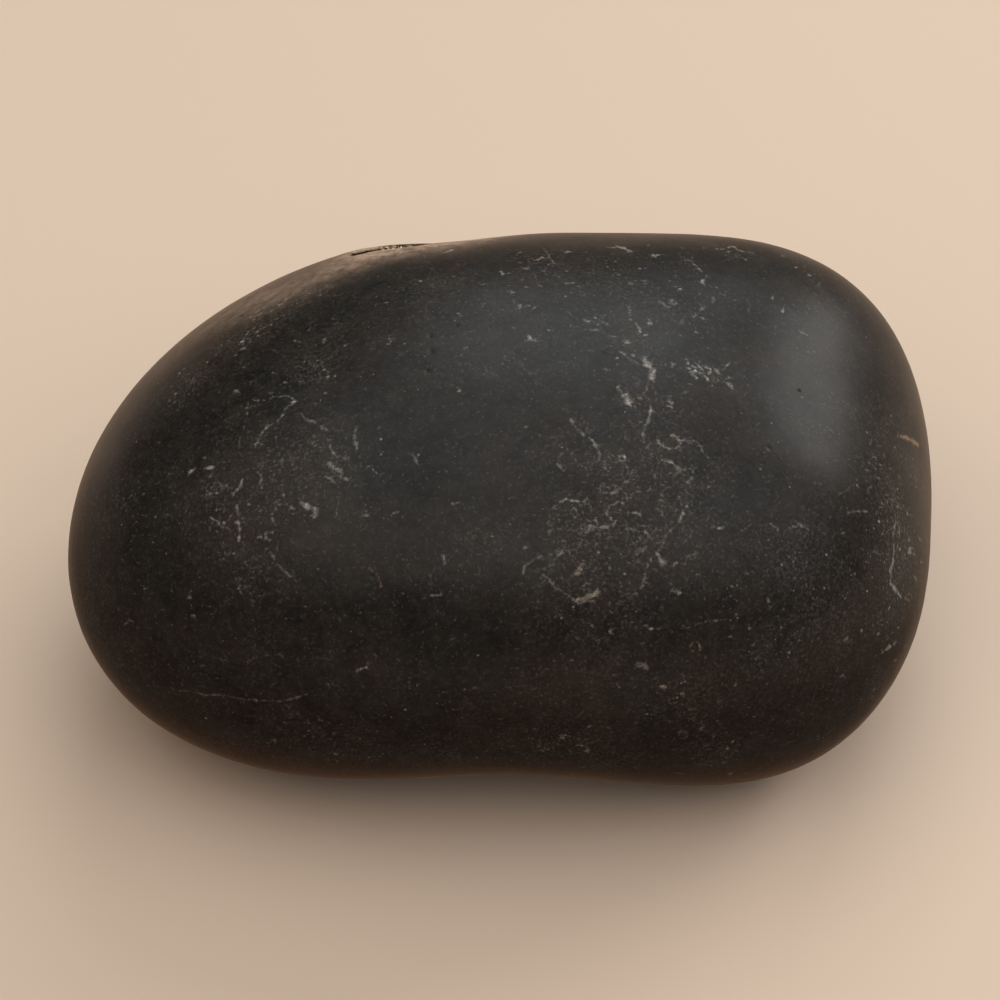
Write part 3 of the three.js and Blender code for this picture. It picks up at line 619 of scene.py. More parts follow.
def ink(place, half_width, strength, tone):
    """One dab of a vein, shaken a little so that no line is drawn with a ruler."""
    if place is None:
        return
    shaken = place + WOBBLE * noise.noise_vector(place / WOBBLE_SIZE)
    along_noise = place / WOBBLE_SIZE * THICKNESS_RATE + Vector((INK_SEED, 0, 0))
    thickness = 1 + THICKNESS_CHANGE * noise.noise(along_noise)
    strength_here = strength * (FIRM_SHARE + (1 - FIRM_SHARE) * thickness)
    marks.append((shaken, half_width * thickness, strength_here, tone))


def sheet_line(points):
    """Points every INK_STEP mm along a line drawn through the given points of the sheet."""
    for start, end in zip(points, points[1:]):
        run = Vector(end) - Vector(start)
        steps = max(1, round(run.length / INK_STEP))
        for step in range(steps):
            yield Vector(start) + run * step / steps
    yield Vector(points[-1])


for strength, width, tone, points in VEINS:
    for point in sheet_line(points):
        ink(press_on(*point), INK_HALF_WIDTH * width * MM, strength, tone)
for x, y, radius, strength, tone in RINGS:
    full_turn = [math.radians(angle) for angle in range(0, 361, 30)]
    circle = [(x + radius * math.cos(angle), y + radius * math.sin(angle)) for angle in full_turn]
    for point in sheet_line(circle):
        ink(press_on(*point), RING_HALF_WIDTH, strength, tone)
for x, y, radius, strength, tone in SPOTS:
    for point in sheet_line([(x - SPOT_STROKE * radius, y), (x + SPOT_STROKE * radius, y)]):
        ink(press_on(*point), SPOT_HALF_WIDTH * radius * MM, strength, tone)
for soft_patches, drawn in ((clouds, CLOUDS), (stains, STAINS), (dust_and_rim_glow, DUST_AND_GLOW_ON_RIM)):
    for x, y, radius, strength in drawn:
        place = press_on(x, y)
        if place is not None:
            soft_patches.append((place, radius * MM, strength))
for along, across, radius, strength in MOUTH_DUST:
    over_skin = mouth_middle + (along * along_mouth + across * across_mouth) * MM
    dust_and_rim_glow.append((skin_tree.find_nearest(over_skin)[0], radius * MM, strength))
print(len(marks), "dabs of ink reached the front of the stone")

# %% [markdown]
# The hidden sides have veins too. They needn't be particular ones, so a seeded walker draws them:
# it starts in a nest, takes short steps over the skin, and turns a little at each.

# %% Veins on the hidden sides
WALK_STEP = 0.1 * MM
FIRST_TURN = 0.03
TURN_CHANGE = 0.035
TURN_KEPT = 0.96
# The least and the most of each, drawn by chance for every hidden vein and cloud. Lengths in mm.
STRENGTHS = (0.45, 0.95)
HALF_WIDTHS = (0.1, 0.17)
TONES = (0, 0.35)
LENGTHS = (1.5, 6.5)
CLOUD_RADII = (0.7, 1.6)
CLOUD_STRENGTHS = (0.3, 0.8)
NEST_PATCH = 0.7
NEST_CLOUD = 0.25
NEST_STAIN = 0.8
HIDDEN_NESTS = [
    # azimuth and elevation of the nest, its radius in mm, and how many veins it has
    (78, 12, 9, 15),
    (146, -6, 8, 12),
    (20, -8, 6, 7),
    (100, -42, 8, 8),
    (-60, -48, 7, 6),
]
walker = random.Random(11)


def on_skin(point):
    """The nearest point of the skin, and the way out of the stone there."""
    place, outward, _, _ = skin_tree.find_nearest(point)
    return place, outward


def is_hidden(place, outward):
    """True where the skin faces away from the drawing eye."""
    return outward.dot(DRAWING_EYE - place) < 0


def wander(start, length, strength, half_width, tone):
    """A vein that wanders over the hidden skin from a start point."""
    place, outward = on_skin(start)
    heading = outward.orthogonal().normalized()
    heading.rotate(Matrix.Rotation(walker.uniform(0, math.tau), 3, outward))
    turning = walker.uniform(-FIRST_TURN, FIRST_TURN)
    for _ in range(round(length / WALK_STEP)):
        if is_hidden(place, outward):
            ink(place, half_width, strength, tone)
        turning += walker.uniform(-TURN_CHANGE, TURN_CHANGE)
        turning *= TURN_KEPT
        heading.rotate(Matrix.Rotation(turning, 3, outward))
        place, outward = on_skin(place + heading * WALK_STEP)
        heading = (heading - outward * heading.dot(outward)).normalized()


front_dabs = len(marks)
for azimuth, elevation, radius, count in HIDDEN_NESTS:
    middle = HEART + direction_of(azimuth, elevation) * reach(azimuth, elevation)
    clouds.append((on_skin(middle)[0], NEST_PATCH * radius * MM, NEST_CLOUD))
    stains.append((on_skin(middle)[0], NEST_PATCH * radius * MM, NEST_STAIN))
    for _ in range(count):
        start = middle + radius * MM * Vector([walker.uniform(-1, 1) for _ in range(3)])
        strength = walker.uniform(*STRENGTHS)
        half_width = walker.uniform(*HALF_WIDTHS) * MM
        tone = walker.uniform(*TONES)
        wander(start, walker.uniform(*LENGTHS) * MM, strength, half_width, tone)
        cloud_radius = walker.uniform(*CLOUD_RADII) * MM
        clouds.append((on_skin(start)[0], cloud_radius, walker.uniform(*CLOUD_STRENGTHS)))
print(len(marks) - front_dabs, "dabs of ink on the hidden sides")

# %% [markdown]
# ## Pits
#
# A few grains have dropped out of the skin and left pits about a millimetre wide. The ones on the
# front have a place on the sheet, and the rest are scattered by chance over all sides.

# %% Places of the pits
FRONT_PITS = [
    # place on the sheet, radius and depth, all in mm
    (34.4, 12.6, 0.32, 0.07),
    (-23.8, 24.9, 0.4, 0.12),
    (-8.3, 14.9, 0.5, 0.08),
    (-7.9, 17.2, 0.55, 0.07),
    (12.0, 17.0, 0.4, 0.06),
    (-14.6, -8.8, 0.4, 0.06),
    (38.2, -11.9, 0.35, 0.07),
]
SCATTERED_PITS = 46
# least and most radius in mm, and least and most depth as a share of the radius
PIT_RADII = (0.3, 0.55)
PIT_DEPTHS = (0.08, 0.2)
pits = []
for x, y, radius, depth in FRONT_PITS:
    pits.append((press_on(x, y), radius * MM, depth * MM))
for _ in range(SCATTERED_PITS):
    anywhere = Vector([walker.gauss(0, 1) for _ in range(3)]).normalized()
    place = form_tree.ray_cast(HEART, anywhere)[0]
    radius = walker.uniform(*PIT_RADII)
    pits.append((on_skin(place)[0], radius * MM, radius * walker.uniform(*PIT_DEPTHS) * MM))
print(len(pits), "pits")

# %% [markdown]
# ## A finer net where it is needed
#
# A vein is about a quarter of a millimetre wide, and the net's squares are three times that.
# Making the whole net that fine would take millions of squares. So only the edges near ink, pits
# and the mouth are cut in two, three times over, and the rest of the net stays as it was.

# %% Split the net near the marks
SPLITS = [
    # how near ink, a pit or the middle of the mouth an edge is to be split, in mm
    (0.95, 1.3, 6.2),
    (0.52, 0.7, 5.6),
    (0.3, 0.45, 4.5),
]
LAST_SMOOTHING = 2


def tree_of(places):
    """A search tree over a list of points."""
    tree = KDTree(len(places))
    for index, place in enumerate(places):
        tree.insert(place, index)
    tree.balance()
    return tree


ink_tree = tree_of([place for place, _, _, _ in marks])
pit_tree = tree_of([place for place, _, _ in pits])


def split_near(net, reach_of_ink, reach_of_pit, reach_of_mouth):
    """Cuts in two every edge whose ends are both near ink, a pit or the mouth."""
    near = set()
    for vert in net.verts:
        by_ink = ink_tree.find(vert.co)[2] < reach_of_ink
        by_pit = pit_tree.find(vert.co)[2] < reach_of_pit
        by_mouth = (vert.co - mouth_middle).length < reach_of_mouth
        if by_ink or by_pit or by_mouth:
            near.add(vert)
    edges = [edge for edge in net.edges if edge.verts[0] in near and edge.verts[1] in near]
    bmesh.ops.subdivide_edges(net, edges=edges, cuts=1, use_grid_fill=True)
    around = [v for v in net.verts if v in near or any(e.other_vert(v) in near for e in v.link_edges)]
    smooth(net, around, 1)


for by_ink, by_pit, by_mouth in SPLITS:
    split_near(skin, by_ink * MM, by_pit * MM, by_mouth * MM)
smooth(skin, skin.verts, LAST_SMOOTHING)
skin.normal_update()
print("the finer net has", len(skin.verts), "vertices")

# %% [markdown]
# ## What each vertex knows
#
# The material needs to know where the ink is, and later the relief does too. Each vertex gets
# two colours that are never seen as such: `marks` holds vein, cloud and tone, and `hollow` holds
# how far inside the mouth the vertex is, how much dust and painted rim glow it has, how stained it
# is, and, in its alpha, how thick the crystals are outside the painted shade of the mouth. A vein's
# value falls off evenly with distance, so the material can cut a line of any width from it.

# %% How strongly the marks show at a point
# How soft the edge of a line is, and how far from a vertex ink is looked for.
FEATHER = 0.24 * MM
SEARCH = 0.65 * MM
# Beyond this many of its radii, a cloud, a stain or a patch of dust counts for nothing.
PATCH_REACH = 2.2


def smooth_step(low, high, value):
    """0 up to low, 1 from high on, and a soft S between them. Low may be the larger of the two."""
    share = min(1, max(0, (value - low) / (high - low)))
    return share * share * (3 - 2 * share)


def vein_at(place):
    """How strongly ink shows at a point, and the tone of the strongest ink."""
    strongest = 0
    tone_there = 0
    for _, index, distance in ink_tree.find_range(place, SEARCH):
        _, half_width, strength, tone = marks[index]
        value = strength * min(1, max(0, 0.5 + (half_width - distance) / FEATHER))
        if value > strongest:
            strongest = value
            tone_there = tone
    return strongest, tone_there


def patches_at(soft_patches, place):
    """How thick the clouds, the stains, or the dust and painted rim glow are at a point."""
    total = 0
    for middle, radius, strength in soft_patches:
        away = (place - middle).length / radius
        if away < PATCH_REACH:
            total += strength * math.exp(-away * away)
    return min(1, total)


print("a dab of ink is felt up to", SEARCH / MM, "mm away")

# %% [markdown]
# The lining of the mouth is an oval. In its middle are crystals. Where the hollow gets deep, and
# towards each end, where it narrows to a crack that is only painted, the lining is painted dark as
# painted shade. Every vertex in a ball round the mouth could be painted, but then the lining would
# spill over the lips. So each place is measured along the mouth, across it and out of the stone.

# %% The lining of the mouth
# In mm. The oval reaches further from its own middle to the left than to the right.
LINING_MIDDLE = -0.6
LINING_LEFT = 6.1
LINING_RIGHT = 4.7
LINING_DEPTH = 6
LINING_HALF_HEIGHT = 3.9
CRACK_HALF_HEIGHT = 2.5
# Pairs of places, from where there is none to where there is all. They are counted from the middle
# of the mouth: towards the narrow end, or out of the stone.
FULL_HEIGHT = (1.7, 0.7)
# Outside these, deep in the hollow and towards its ends, the lining is painted dark as painted shade.
CRYSTALS_LEFT = (1.9, 0.5)
CRYSTALS_RIGHT = (-4.2, -3.0)
CRYSTALS_ABOVE_DEPTH_SHADE = (-4.2, -1.4)
# The edge of the oval, as a share of its size.
LINING_EDGE = (1.04, 0.96)


def mouth_at(place):
    """How far inside the mouth's lining a point is, and how thick the crystals are there outside the painted
    shade.
    """
    from_middle = (place - mouth_middle) / MM
    outward = from_middle.dot(mouth_faces)
    if outward < -LINING_DEPTH:
        return 0, 0
    along = from_middle.dot(along_mouth)
    across = from_middle.dot(across_mouth)
    crystals_along = smooth_step(*CRYSTALS_LEFT, along) * smooth_step(*CRYSTALS_RIGHT, along)
    unshaded_crystals = crystals_along * smooth_step(*CRYSTALS_ABOVE_DEPTH_SHADE, outward)
    opened = smooth_step(*FULL_HEIGHT, along)
    half_height = CRACK_HALF_HEIGHT + (LINING_HALF_HEIGHT - CRACK_HALF_HEIGHT) * opened
    half_length = LINING_LEFT if along > LINING_MIDDLE else LINING_RIGHT
    oval = math.hypot((along - LINING_MIDDLE) / half_length, across / half_height)
    return smooth_step(*LINING_EDGE, oval), unshaded_crystals


print("the lining is", round(LINING_LEFT + LINING_RIGHT, 1), "mm long")

# %% Store the marks on the vertices
marks_layer = skin.verts.layers.float_color.new("marks")
hollow_layer = skin.verts.layers.float_color.new("hollow")
for vert in skin.verts:
    vein_there, tone_there = vein_at(vert.co)
    vert[marks_layer] = (vein_there, patches_at(clouds, vert.co), tone_there, 1)
    lined, unshaded_crystals = mouth_at(vert.co)
    vert[hollow_layer] = (lined, patches_at(dust_and_rim_glow, vert.co), patches_at(stains, vert.co), unshaded_crystals)
print("strongest ink on a vertex:", round(max(vert[marks_layer][0] for vert in skin.verts), 2))

# %% [markdown]
# ## Relief
#
# River wear leaves a skin that is smooth to the hand but never perfectly true: it swells and dips
# by less than a tenth of a millimetre over each centimetre, which is what makes its gloss wander.
# The veins are a little softer than the stone and have worn into hair-thin grooves, the pits are
# real dents, and the mouth is lined with coarse grains. All of this is moved in the mesh itself, so
# that it is there in any light. Only the grain of the skin, finer than the net, is left to the
# material.

# %% Swell, groove and pit the skin
SWELLS = [
    # width of the swells and their height, in mm
    (15, 0.09),
    (5, 0.018),
    (1.6, 0.004),
]
# How deep the grooves are, and the strengths of ink at which they start and are full.
GROOVE = 0.012 * MM
GROOVED_INK = (0.3, 0.9)
GRAINS = [
    # size of the grains in the mouth and how far they stand out, in mm
    (1.5, 0.22),
    (0.55, 0.2),
]
# How far the lining lies under the skin, and the height up to which the relief fades to the ground.
SUNK = 0.12 * MM
SEAT_HEIGHT = 1.5 * MM


def swell_at(place):
    """Height of the broad swells of the skin."""
    height = 0
    for width, rise in SWELLS:
        height += rise * MM * noise.noise(place / (width * MM))
    return height


def pit_at(place):
    """Depth of the nearest pit at a point."""
    _, index, distance = pit_tree.find(place)
    _, radius, depth = pits[index]
    share = max(0, 1 - (distance / radius) ** 2)
    return depth * share * share


def grains_at(place):
    """How far the grains that line the mouth stand out."""
    height = 0
    for size, rise in GRAINS:
        height += rise * MM * noise.noise(place / (size * MM), noise_basis="VORONOI_F2F1")
    return height


moves = []
for vert in skin.verts:
    seated = smooth_step(0, SEAT_HEIGHT, vert.co.z)
    groove = GROOVE * smooth_step(*GROOVED_INK, vert[marks_layer][0])
    lined, _, _, unshaded_crystals = vert[hollow_layer]
    height = swell_at(vert.co) - groove - pit_at(vert.co)
    height += lined * (unshaded_crystals * grains_at(vert.co) - SUNK)
    moves.append(seated * height * vert.normal)
for vert, move in zip(skin.verts, moves):
    vert.co += move
print("largest move of a vertex:", round(max(move.length for move in moves) / MM, 2), "mm")

# %% [markdown]
# Melting has drawn the stone in by a hair and the swells have pushed it out again here and there.
# A stretch of less than one part in a hundred along each axis brings it back to the box of the
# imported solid. The net is then cut into triangles, because that is what other programs read. Now
# and then both faces beside a split edge are cut behind its middle vertex. That leaves a flap of two
# triangles back to back, whose tip has no third, so such tips are deleted.

# %% Bring the stone back to its box and finish the mesh
low = Vector([min(vert.co[axis] for vert in skin.verts) for axis in range(3)])
high = Vector([max(vert.co[axis] for vert in skin.verts) for axis in range(3)])
scale = Vector([(highest[axis] - lowest[axis]) / (high[axis] - low[axis]) for axis in range(3)])
for vert in skin.verts:
    for axis in range(3):
        vert.co[axis] = lowest[axis] + (vert.co[axis] - low[axis]) * scale[axis]
print("stretched by", [round(share, 4) for share in scale])
bmesh.ops.triangulate(skin, faces=skin.faces, quad_method="SHORT_EDGE")
flap_tips = [vert for vert in skin.verts if len(vert.link_faces) == 2]
bmesh.ops.delete(skin, geom=flap_tips, context="VERTS")
for face in skin.faces:
    face.smooth = True

worn_stone_mesh = bpy.data.meshes.new("worn_stone")
skin.to_mesh(worn_stone_mesh)
skin.free()
worn_stone = bpy.data.objects.new("worn_stone", worn_stone_mesh)
bpy.context.scene.collection.objects.link(worn_stone)
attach(worn_stone, "root")
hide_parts("stone")
print(len(flap_tips), "flap deleted; the worn stone has", len(worn_stone_mesh.polygons), "triangles")

# %% [markdown]
# ## Colours
#
# The colours are picked as sRGB values, the way a paint chart gives them, but the shader counts
# light, so each is turned to linear first.

# %% sRGB to linear
def linear(code):
    """A colour for a shader socket from an sRGB hex code."""
    channels = [int(code[start : start + 2], 16) / 255 for start in (1, 3, 5)]
    return [c / 12.92 if c <= 0.04045 else ((c + 0.055) / 1.055) ** 2.4 for c in channels] + [1]


print("shale black in linear light:", [round(channel, 4) for channel in linear("#1c1b1a")])

# %% [markdown]
# ## The stone's material: black shale, worn by a river and rubbed by hand
#
# Black shale is mud turned to stone: clay, very fine quartz and carbon. It is among the darkest of
# stones, and gives back hardly two parts in a hundred of the light. River wear and handling leave a
# satin skin, with a gloss that is broad and weak, and dust in its finest pores pales it where it is
# seen edge on. A painted image could carry all this, but noise textures on Object coordinates need
# no unwrapping, cover the hidden sides too, and can be given their real sizes in millimetres.
#
# The colour is built up in layers, from the stone itself to the chalk and dust on top of it. Each
# layer is a mask and a colour. They are gathered in a list, and laid over each other at the end.

# %% A helper for nodes, and the start of the material
MIX_FACTOR, MIX_UNDER, MIX_OVER, MIX_RESULT = 0, 6, 7, 2


def add(tree, kind, inputs, **settings):
    """Adds one shader node. An input is a plain value, a node or a node's output socket."""
    node = tree.nodes.new(kind)
    for name, value in settings.items():
        setattr(node, name, value)
    for name, value in inputs.items():
        if isinstance(value, bpy.types.Node):
            value = value.outputs[0]
        if isinstance(value, bpy.types.NodeSocket):
            tree.links.new(value, node.inputs[name])
        else:
            node.inputs[name].default_value = value
    return node


def per_metre(size_mm):
    """The scale of a texture whose features are about this wide."""
    return 1 / (size_mm * MM)


shale = bpy.data.materials.new("black_shale_river_worn")
shale.use_nodes = True
tree = shale.node_tree
tree.nodes.clear()
place = add(tree, "ShaderNodeTexCoord", {}).outputs["Object"]
marks_read = add(tree, "ShaderNodeAttribute", {}, attribute_name="marks")
hollow_read = add(tree, "ShaderNodeAttribute", {}, attribute_name="hollow")
mark = add(tree, "ShaderNodeSeparateColor", {"Color": marks_read.outputs["Color"]})
hollow = add(tree, "ShaderNodeSeparateColor", {"Color": hollow_read.outputs["Color"]})
vein_ink, cloud_ink, tan_tone = mark.outputs
in_mouth, dust_and_glow_ink, stain_ink = hollow.outputs
crystals_out_of_shade = hollow_read.outputs["Alpha"]
layers = []
print("material:", shale.name)

# %% [markdown]
# ### The stone itself
#
# Three sizes of unevenness make up the black: clouds of slightly browner mud about a centimetre
# wide, a mottle of two or three millimetres, and the grain, less than one. The real grain is far
# finer than that, so it is drawn as coarse as it needs to be to show. The mottle also opens islands
# of clean black in the brown stains round the veins. The belly is painted a little darker and
# browner as painted shade. Lower down, towards the ground, a lighter warm brown is painted as the
# reflection of the warm floor.

# %% Ground colour, with painted shade and a painted floor glow on the belly
MUD_MM = 11
MOTTLE_MM = 2.8
BLACK = linear("#151413")
BROWN_BLACK = linear("#1b1511")
STAIN_BROWN = linear("#261d18")
# Painted shade for the belly, and a painted reflection of the warm floor low down.
BELLY_SHADE_BROWN = linear("#19110d")
FLOOR_GLOW_BROWN = linear("#3a2415")
BELLY_TOP = 33 * MM
BELLY_BOTTOM = 23 * MM
FLOOR_GLOW_TOP = 19 * MM
FLOOR_GLOW_BOTTOM = 9 * MM
# How steeply the edges of the painted belly shade and the painted floor glow slope down towards the blunt
# end.
END_LIFT = 0.05
BELLY_SHADE_SHARE = 0.6

mud_clouds = add(
    tree, "ShaderNodeTexNoise", {"Vector": place, "Scale": per_metre(MUD_MM), "Detail": 3, "Roughness": 0.55}
)
mud = add(
    tree, "ShaderNodeMapRange", {"Value": mud_clouds, "From Min": 0.38, "From Max": 0.64},
    interpolation_type="SMOOTHSTEP",
)
layers.append((mud, BROWN_BLACK))
mottle_noise = add(
    tree, "ShaderNodeTexNoise",
    {"Vector": place, "Scale": per_metre(MOTTLE_MM), "Detail": 3, "Roughness": 0.6, "Distortion": 0.4},
)
islands = add(
    tree, "ShaderNodeMapRange",
    {"Value": mottle_noise, "From Min": 0.43, "From Max": 0.54, "To Min": 0.25, "To Max": 0.75},
    interpolation_type="SMOOTHSTEP",
)
stain = add(tree, "ShaderNodeMath", {0: stain_ink, 1: islands}, operation="MULTIPLY")
layers.append((stain, STAIN_BROWN))
where = add(tree, "ShaderNodeSeparateXYZ", {"Vector": place})
lifted = add(
    tree, "ShaderNodeMath",
    {0: where.outputs["X"], 1: END_LIFT, 2: where.outputs["Z"]}, operation="MULTIPLY_ADD",
)
belly = add(
    tree, "ShaderNodeMapRange", {"Value": lifted, "From Min": BELLY_TOP, "From Max": BELLY_BOTTOM},
    interpolation_type="SMOOTHSTEP",
)
# Painted shade on the belly, a little browner than the black.
belly_shade = add(tree, "ShaderNodeMath", {0: belly, 1: BELLY_SHADE_SHARE}, operation="MULTIPLY")
layers.append((belly_shade, BELLY_SHADE_BROWN))
# A painted reflection of the warm floor, lighter towards the ground.
floor_glow = add(
    tree, "ShaderNodeMapRange",
    {"Value": lifted, "From Min": FLOOR_GLOW_TOP, "From Max": FLOOR_GLOW_BOTTOM, "To Max": 0.8},
    interpolation_type="SMOOTHSTEP",
)
layers.append((floor_glow, FLOOR_GLOW_BROWN))
print(len(layers), "layers of mud, stain, earth and silt")

# %% Mottle and grain
GRAIN_MM = 0.8
GRAIN_GREY = linear("#3a3733")

mottle = add(
    tree, "ShaderNodeMapRange",
    {"Value": mottle_noise, "From Min": 0.38, "From Max": 0.68, "To Max": 0.2},
)
layers.append((mottle, GRAIN_GREY))
grain_noise = add(
    tree, "ShaderNodeTexNoise",
    {"Vector": place, "Scale": per_metre(GRAIN_MM), "Detail": 2, "Roughness": 0.6},
)
grain = add(
    tree, "ShaderNodeMapRange",
    {"Value": grain_noise, "From Min": 0.44, "From Max": 0.74, "To Max": 0.3},
)
layers.append((grain, GRAIN_GREY))
print(len(layers), "layers with mottle and grain")

# %% [markdown]
# ### Rubbed haze
#
# Handling and river sand have scuffed the skin into faint wisps, a few millimetres long, which are
# themselves made of specks. One noise with much detail would put specks between the wisps too. So
# a slow noise makes the wisps, and a fine one breaks them up. Stains and clouds of ink add to them.

# %% Haze
WISP_MM = 4.5
SPECK_MM = 0.38
HAZE_GREY = linear("#6a6762")
HAZE_EVERYWHERE = 0.02
HAZE_IN_WISPS = 0.12
HAZE_IN_STAINS = 0.07
HAZE_IN_CLOUDS = 0.3

wisp_noise = add(
    tree, "ShaderNodeTexNoise",
    {"Vector": place, "Scale": per_metre(WISP_MM), "Detail": 7, "Roughness": 0.68, "Distortion": 0.5},
)
wisps = add(
    tree, "ShaderNodeMapRange", {"Value": wisp_noise, "From Min": 0.52, "From Max": 0.74},
    interpolation_type="SMOOTHSTEP",
)
speck_noise = add(
    tree, "ShaderNodeTexNoise",
    {"Vector": place, "Scale": per_metre(SPECK_MM), "Detail": 2, "Roughness": 0.65},
)
specks = add(
    tree, "ShaderNodeMapRange", {"Value": speck_noise, "From Min": 0.46, "From Max": 0.68},
    interpolation_type="SMOOTHSTEP",
)
smear = HAZE_EVERYWHERE
for mask, share in ((wisps, HAZE_IN_WISPS), (stain_ink, HAZE_IN_STAINS), (cloud_ink, HAZE_IN_CLOUDS)):
    smear = add(tree, "ShaderNodeMath", {0: mask, 1: share, 2: smear}, operation="MULTIPLY_ADD")
haze = add(tree, "ShaderNodeMath", {0: smear, 1: specks}, operation="MULTIPLY")
layers.append((haze, HAZE_GREY))
print(len(layers), "layers with the haze")

# %% [markdown]
# ### Dust, and a painted rim glow
#
# Pale brown dust has settled in the pores round the lip of the mouth and along the rim beside it.
# Along the upper rim the same tan is also a painted reflection of the pale floor, which that rim
# mirrors where it is seen edge on. It is thick in some pores and wiped off others, in patches a
# millimetre or two wide. It has no thickness to speak of, so it needs no mesh of its own: a tint
# over the patches on the sheet will do.

# %% Dust and painted rim glow
DUST_AND_GLOW_MM = 1.7
# A tan that is partly dust and partly, on the upper rim, a painted reflection of the floor.
DUST_AND_GLOW_TAN = linear("#b09580")

dust_and_glow_noise = add(
    tree, "ShaderNodeTexNoise",
    {"Vector": place, "Scale": per_metre(DUST_AND_GLOW_MM), "Detail": 4, "Roughness": 0.68, "Distortion": 0.3},
)
dust_and_glow_grain = add(
    tree, "ShaderNodeMapRange",
    {"Value": dust_and_glow_noise, "From Min": 0.36, "From Max": 0.66, "To Min": 0.3, "To Max": 1.25},
)
dust_and_glow = add(tree, "ShaderNodeMath", {0: dust_and_glow_ink, 1: dust_and_glow_grain}, operation="MULTIPLY", use_clamp=True)
layers.append((dust_and_glow, DUST_AND_GLOW_TAN))
print(len(layers), "layers with the dust")

# %% [markdown]
# ### Flecks
#
# Tiny crystals of quartz and chips of shell show as pale flecks. A Voronoi texture scatters one
# point in each cell of space; a fleck is a small ball round that point, and its radius is a matter
# of chance, so many cells have none. Three sizes are laid, and clouds of ink swell them.

# %% Flecks in three sizes
FLECK_GREY = linear("#94908a")
FLECKS = [
    # cell size in mm, largest radius as a share of the cell, share of cells without one, strength
    (1.3, 0.14, 0.45, 0.6),
    (0.7, 0.17, 0.35, 0.45),
    (0.4, 0.22, 0.4, 0.18),
]
# The cells are shaken, so that no fleck is a true ball, and are fuller in fields of this size.
SHAKE_MM = 0.3
FLECK_SHAKE = 0.2 * MM
FIELD_MM = 8
CLOUD_SWELLS = 1.4

shake = add(
    tree, "ShaderNodeTexNoise",
    {"Vector": place, "Scale": per_metre(SHAKE_MM), "Detail": 1, "Roughness": 0.5},
)
shake_small = add(
    tree, "ShaderNodeVectorMath", {0: shake.outputs["Color"], "Scale": FLECK_SHAKE}, operation="SCALE"
)
shaken_place = add(tree, "ShaderNodeVectorMath", {0: place, 1: shake_small}, operation="ADD")
field_noise = add(
    tree, "ShaderNodeTexNoise",
    {"Vector": place, "Scale": per_metre(FIELD_MM), "Detail": 3, "Roughness": 0.6},
)
field = add(
    tree, "ShaderNodeMapRange",
    {"Value": field_noise, "From Min": 0.38, "From Max": 0.66, "To Min": 0.3, "To Max": 1.25},
)
crowd = add(tree, "ShaderNodeMath", {0: cloud_ink, 1: CLOUD_SWELLS, 2: field}, operation="MULTIPLY_ADD")
for cell, radius, bare_share, strength in FLECKS:
    cells = add(tree, "ShaderNodeTexVoronoi", {"Vector": shaken_place, "Scale": per_metre(cell)})
    chance = add(tree, "ShaderNodeSeparateColor", {"Color": cells.outputs["Color"]})
    wanted = add(
        tree, "ShaderNodeMapRange",
        {"Value": chance.outputs[0], "From Min": bare_share, "From Max": 1, "To Max": radius},
    )
    fleck_radius = add(tree, "ShaderNodeMath", {0: wanted, 1: crowd}, operation="MULTIPLY")
    inside = add(
        tree, "ShaderNodeMath", {0: fleck_radius, 1: cells.outputs["Distance"]}, operation="SUBTRACT"
    )
    edge = add(
        tree, "ShaderNodeMapRange", {"Value": inside, "From Min": -0.01, "From Max": 0.05},
        interpolation_type="SMOOTHSTEP",
    )
    showing = add(
        tree, "ShaderNodeMapRange",
        {"Value": chance.outputs[1], "To Min": 0.25 * strength, "To Max": strength},
    )
    fleck = add(tree, "ShaderNodeMath", {0: edge, 1: showing}, operation="MULTIPLY")
    layers.append((fleck, FLECK_GREY))
print(len(layers), "layers with the flecks")

# %% [markdown]
# ### Hairlines
#
# Where a noise texture crosses its middle value it draws fine closed curls, much like the finest
# veins. Two sizes of curls make the lace round the drawn veins. They are kept in the stained nests
# and in a few patches outside them, and the specks break them into beads.

# %% Hairline veins
CURLS = [
    # width of the curls in mm, half the line's width in noise, and strength
    (2.4, 0.035, 0.5),
    (1.2, 0.05, 0.3),
]
PATCH_MM = 10

patch_noise = add(
    tree, "ShaderNodeTexNoise",
    {"Vector": place, "Scale": per_metre(PATCH_MM), "Detail": 2, "Roughness": 0.5},
)
patches = add(
    tree, "ShaderNodeMapRange", {"Value": patch_noise, "From Min": 0.53, "From Max": 0.66, "To Max": 0.22},
    interpolation_type="SMOOTHSTEP",
)
nest_or_patch = add(tree, "ShaderNodeMath", {0: stain, 1: patches}, operation="MAXIMUM")
beads = add(tree, "ShaderNodeMath", {0: nest_or_patch, 1: specks}, operation="MULTIPLY")
for curl_size, half_width, strength in CURLS:
    curl_noise = add(
        tree, "ShaderNodeTexNoise",
        {"Vector": place, "Scale": per_metre(curl_size), "Detail": 2, "Roughness": 0.5, "Distortion": 0.8},
    )
    from_middle = add(tree, "ShaderNodeMath", {0: curl_noise, 1: 0.5}, operation="SUBTRACT")
    away_from_line = add(tree, "ShaderNodeMath", {0: from_middle}, operation="ABSOLUTE")
    line = add(
        tree, "ShaderNodeMapRange",
        {"Value": away_from_line, "From Min": half_width, "From Max": 0, "To Max": strength},
    )
    hairline = add(tree, "ShaderNodeMath", {0: line, 1: beads}, operation="MULTIPLY")
    layers.append((hairline, FLECK_GREY))
print(len(layers), "layers with the hairlines")

# %% [markdown]
# ### The drawn veins
#
# The value on the vertices falls off evenly from the middle of each vein. Grain is taken from it
# before it is cut, so strong veins are lumpy and weak ones break into dots. The chalk is thin, and
# the black shows through wherever a slower noise makes it thinner.

# %% Veins from the ink on the vertices
LUMP_MM = 0.42
THICKNESS_MM = 0.9
CHALK = linear("#a8a6a2")
TAN = linear("#a98c69")

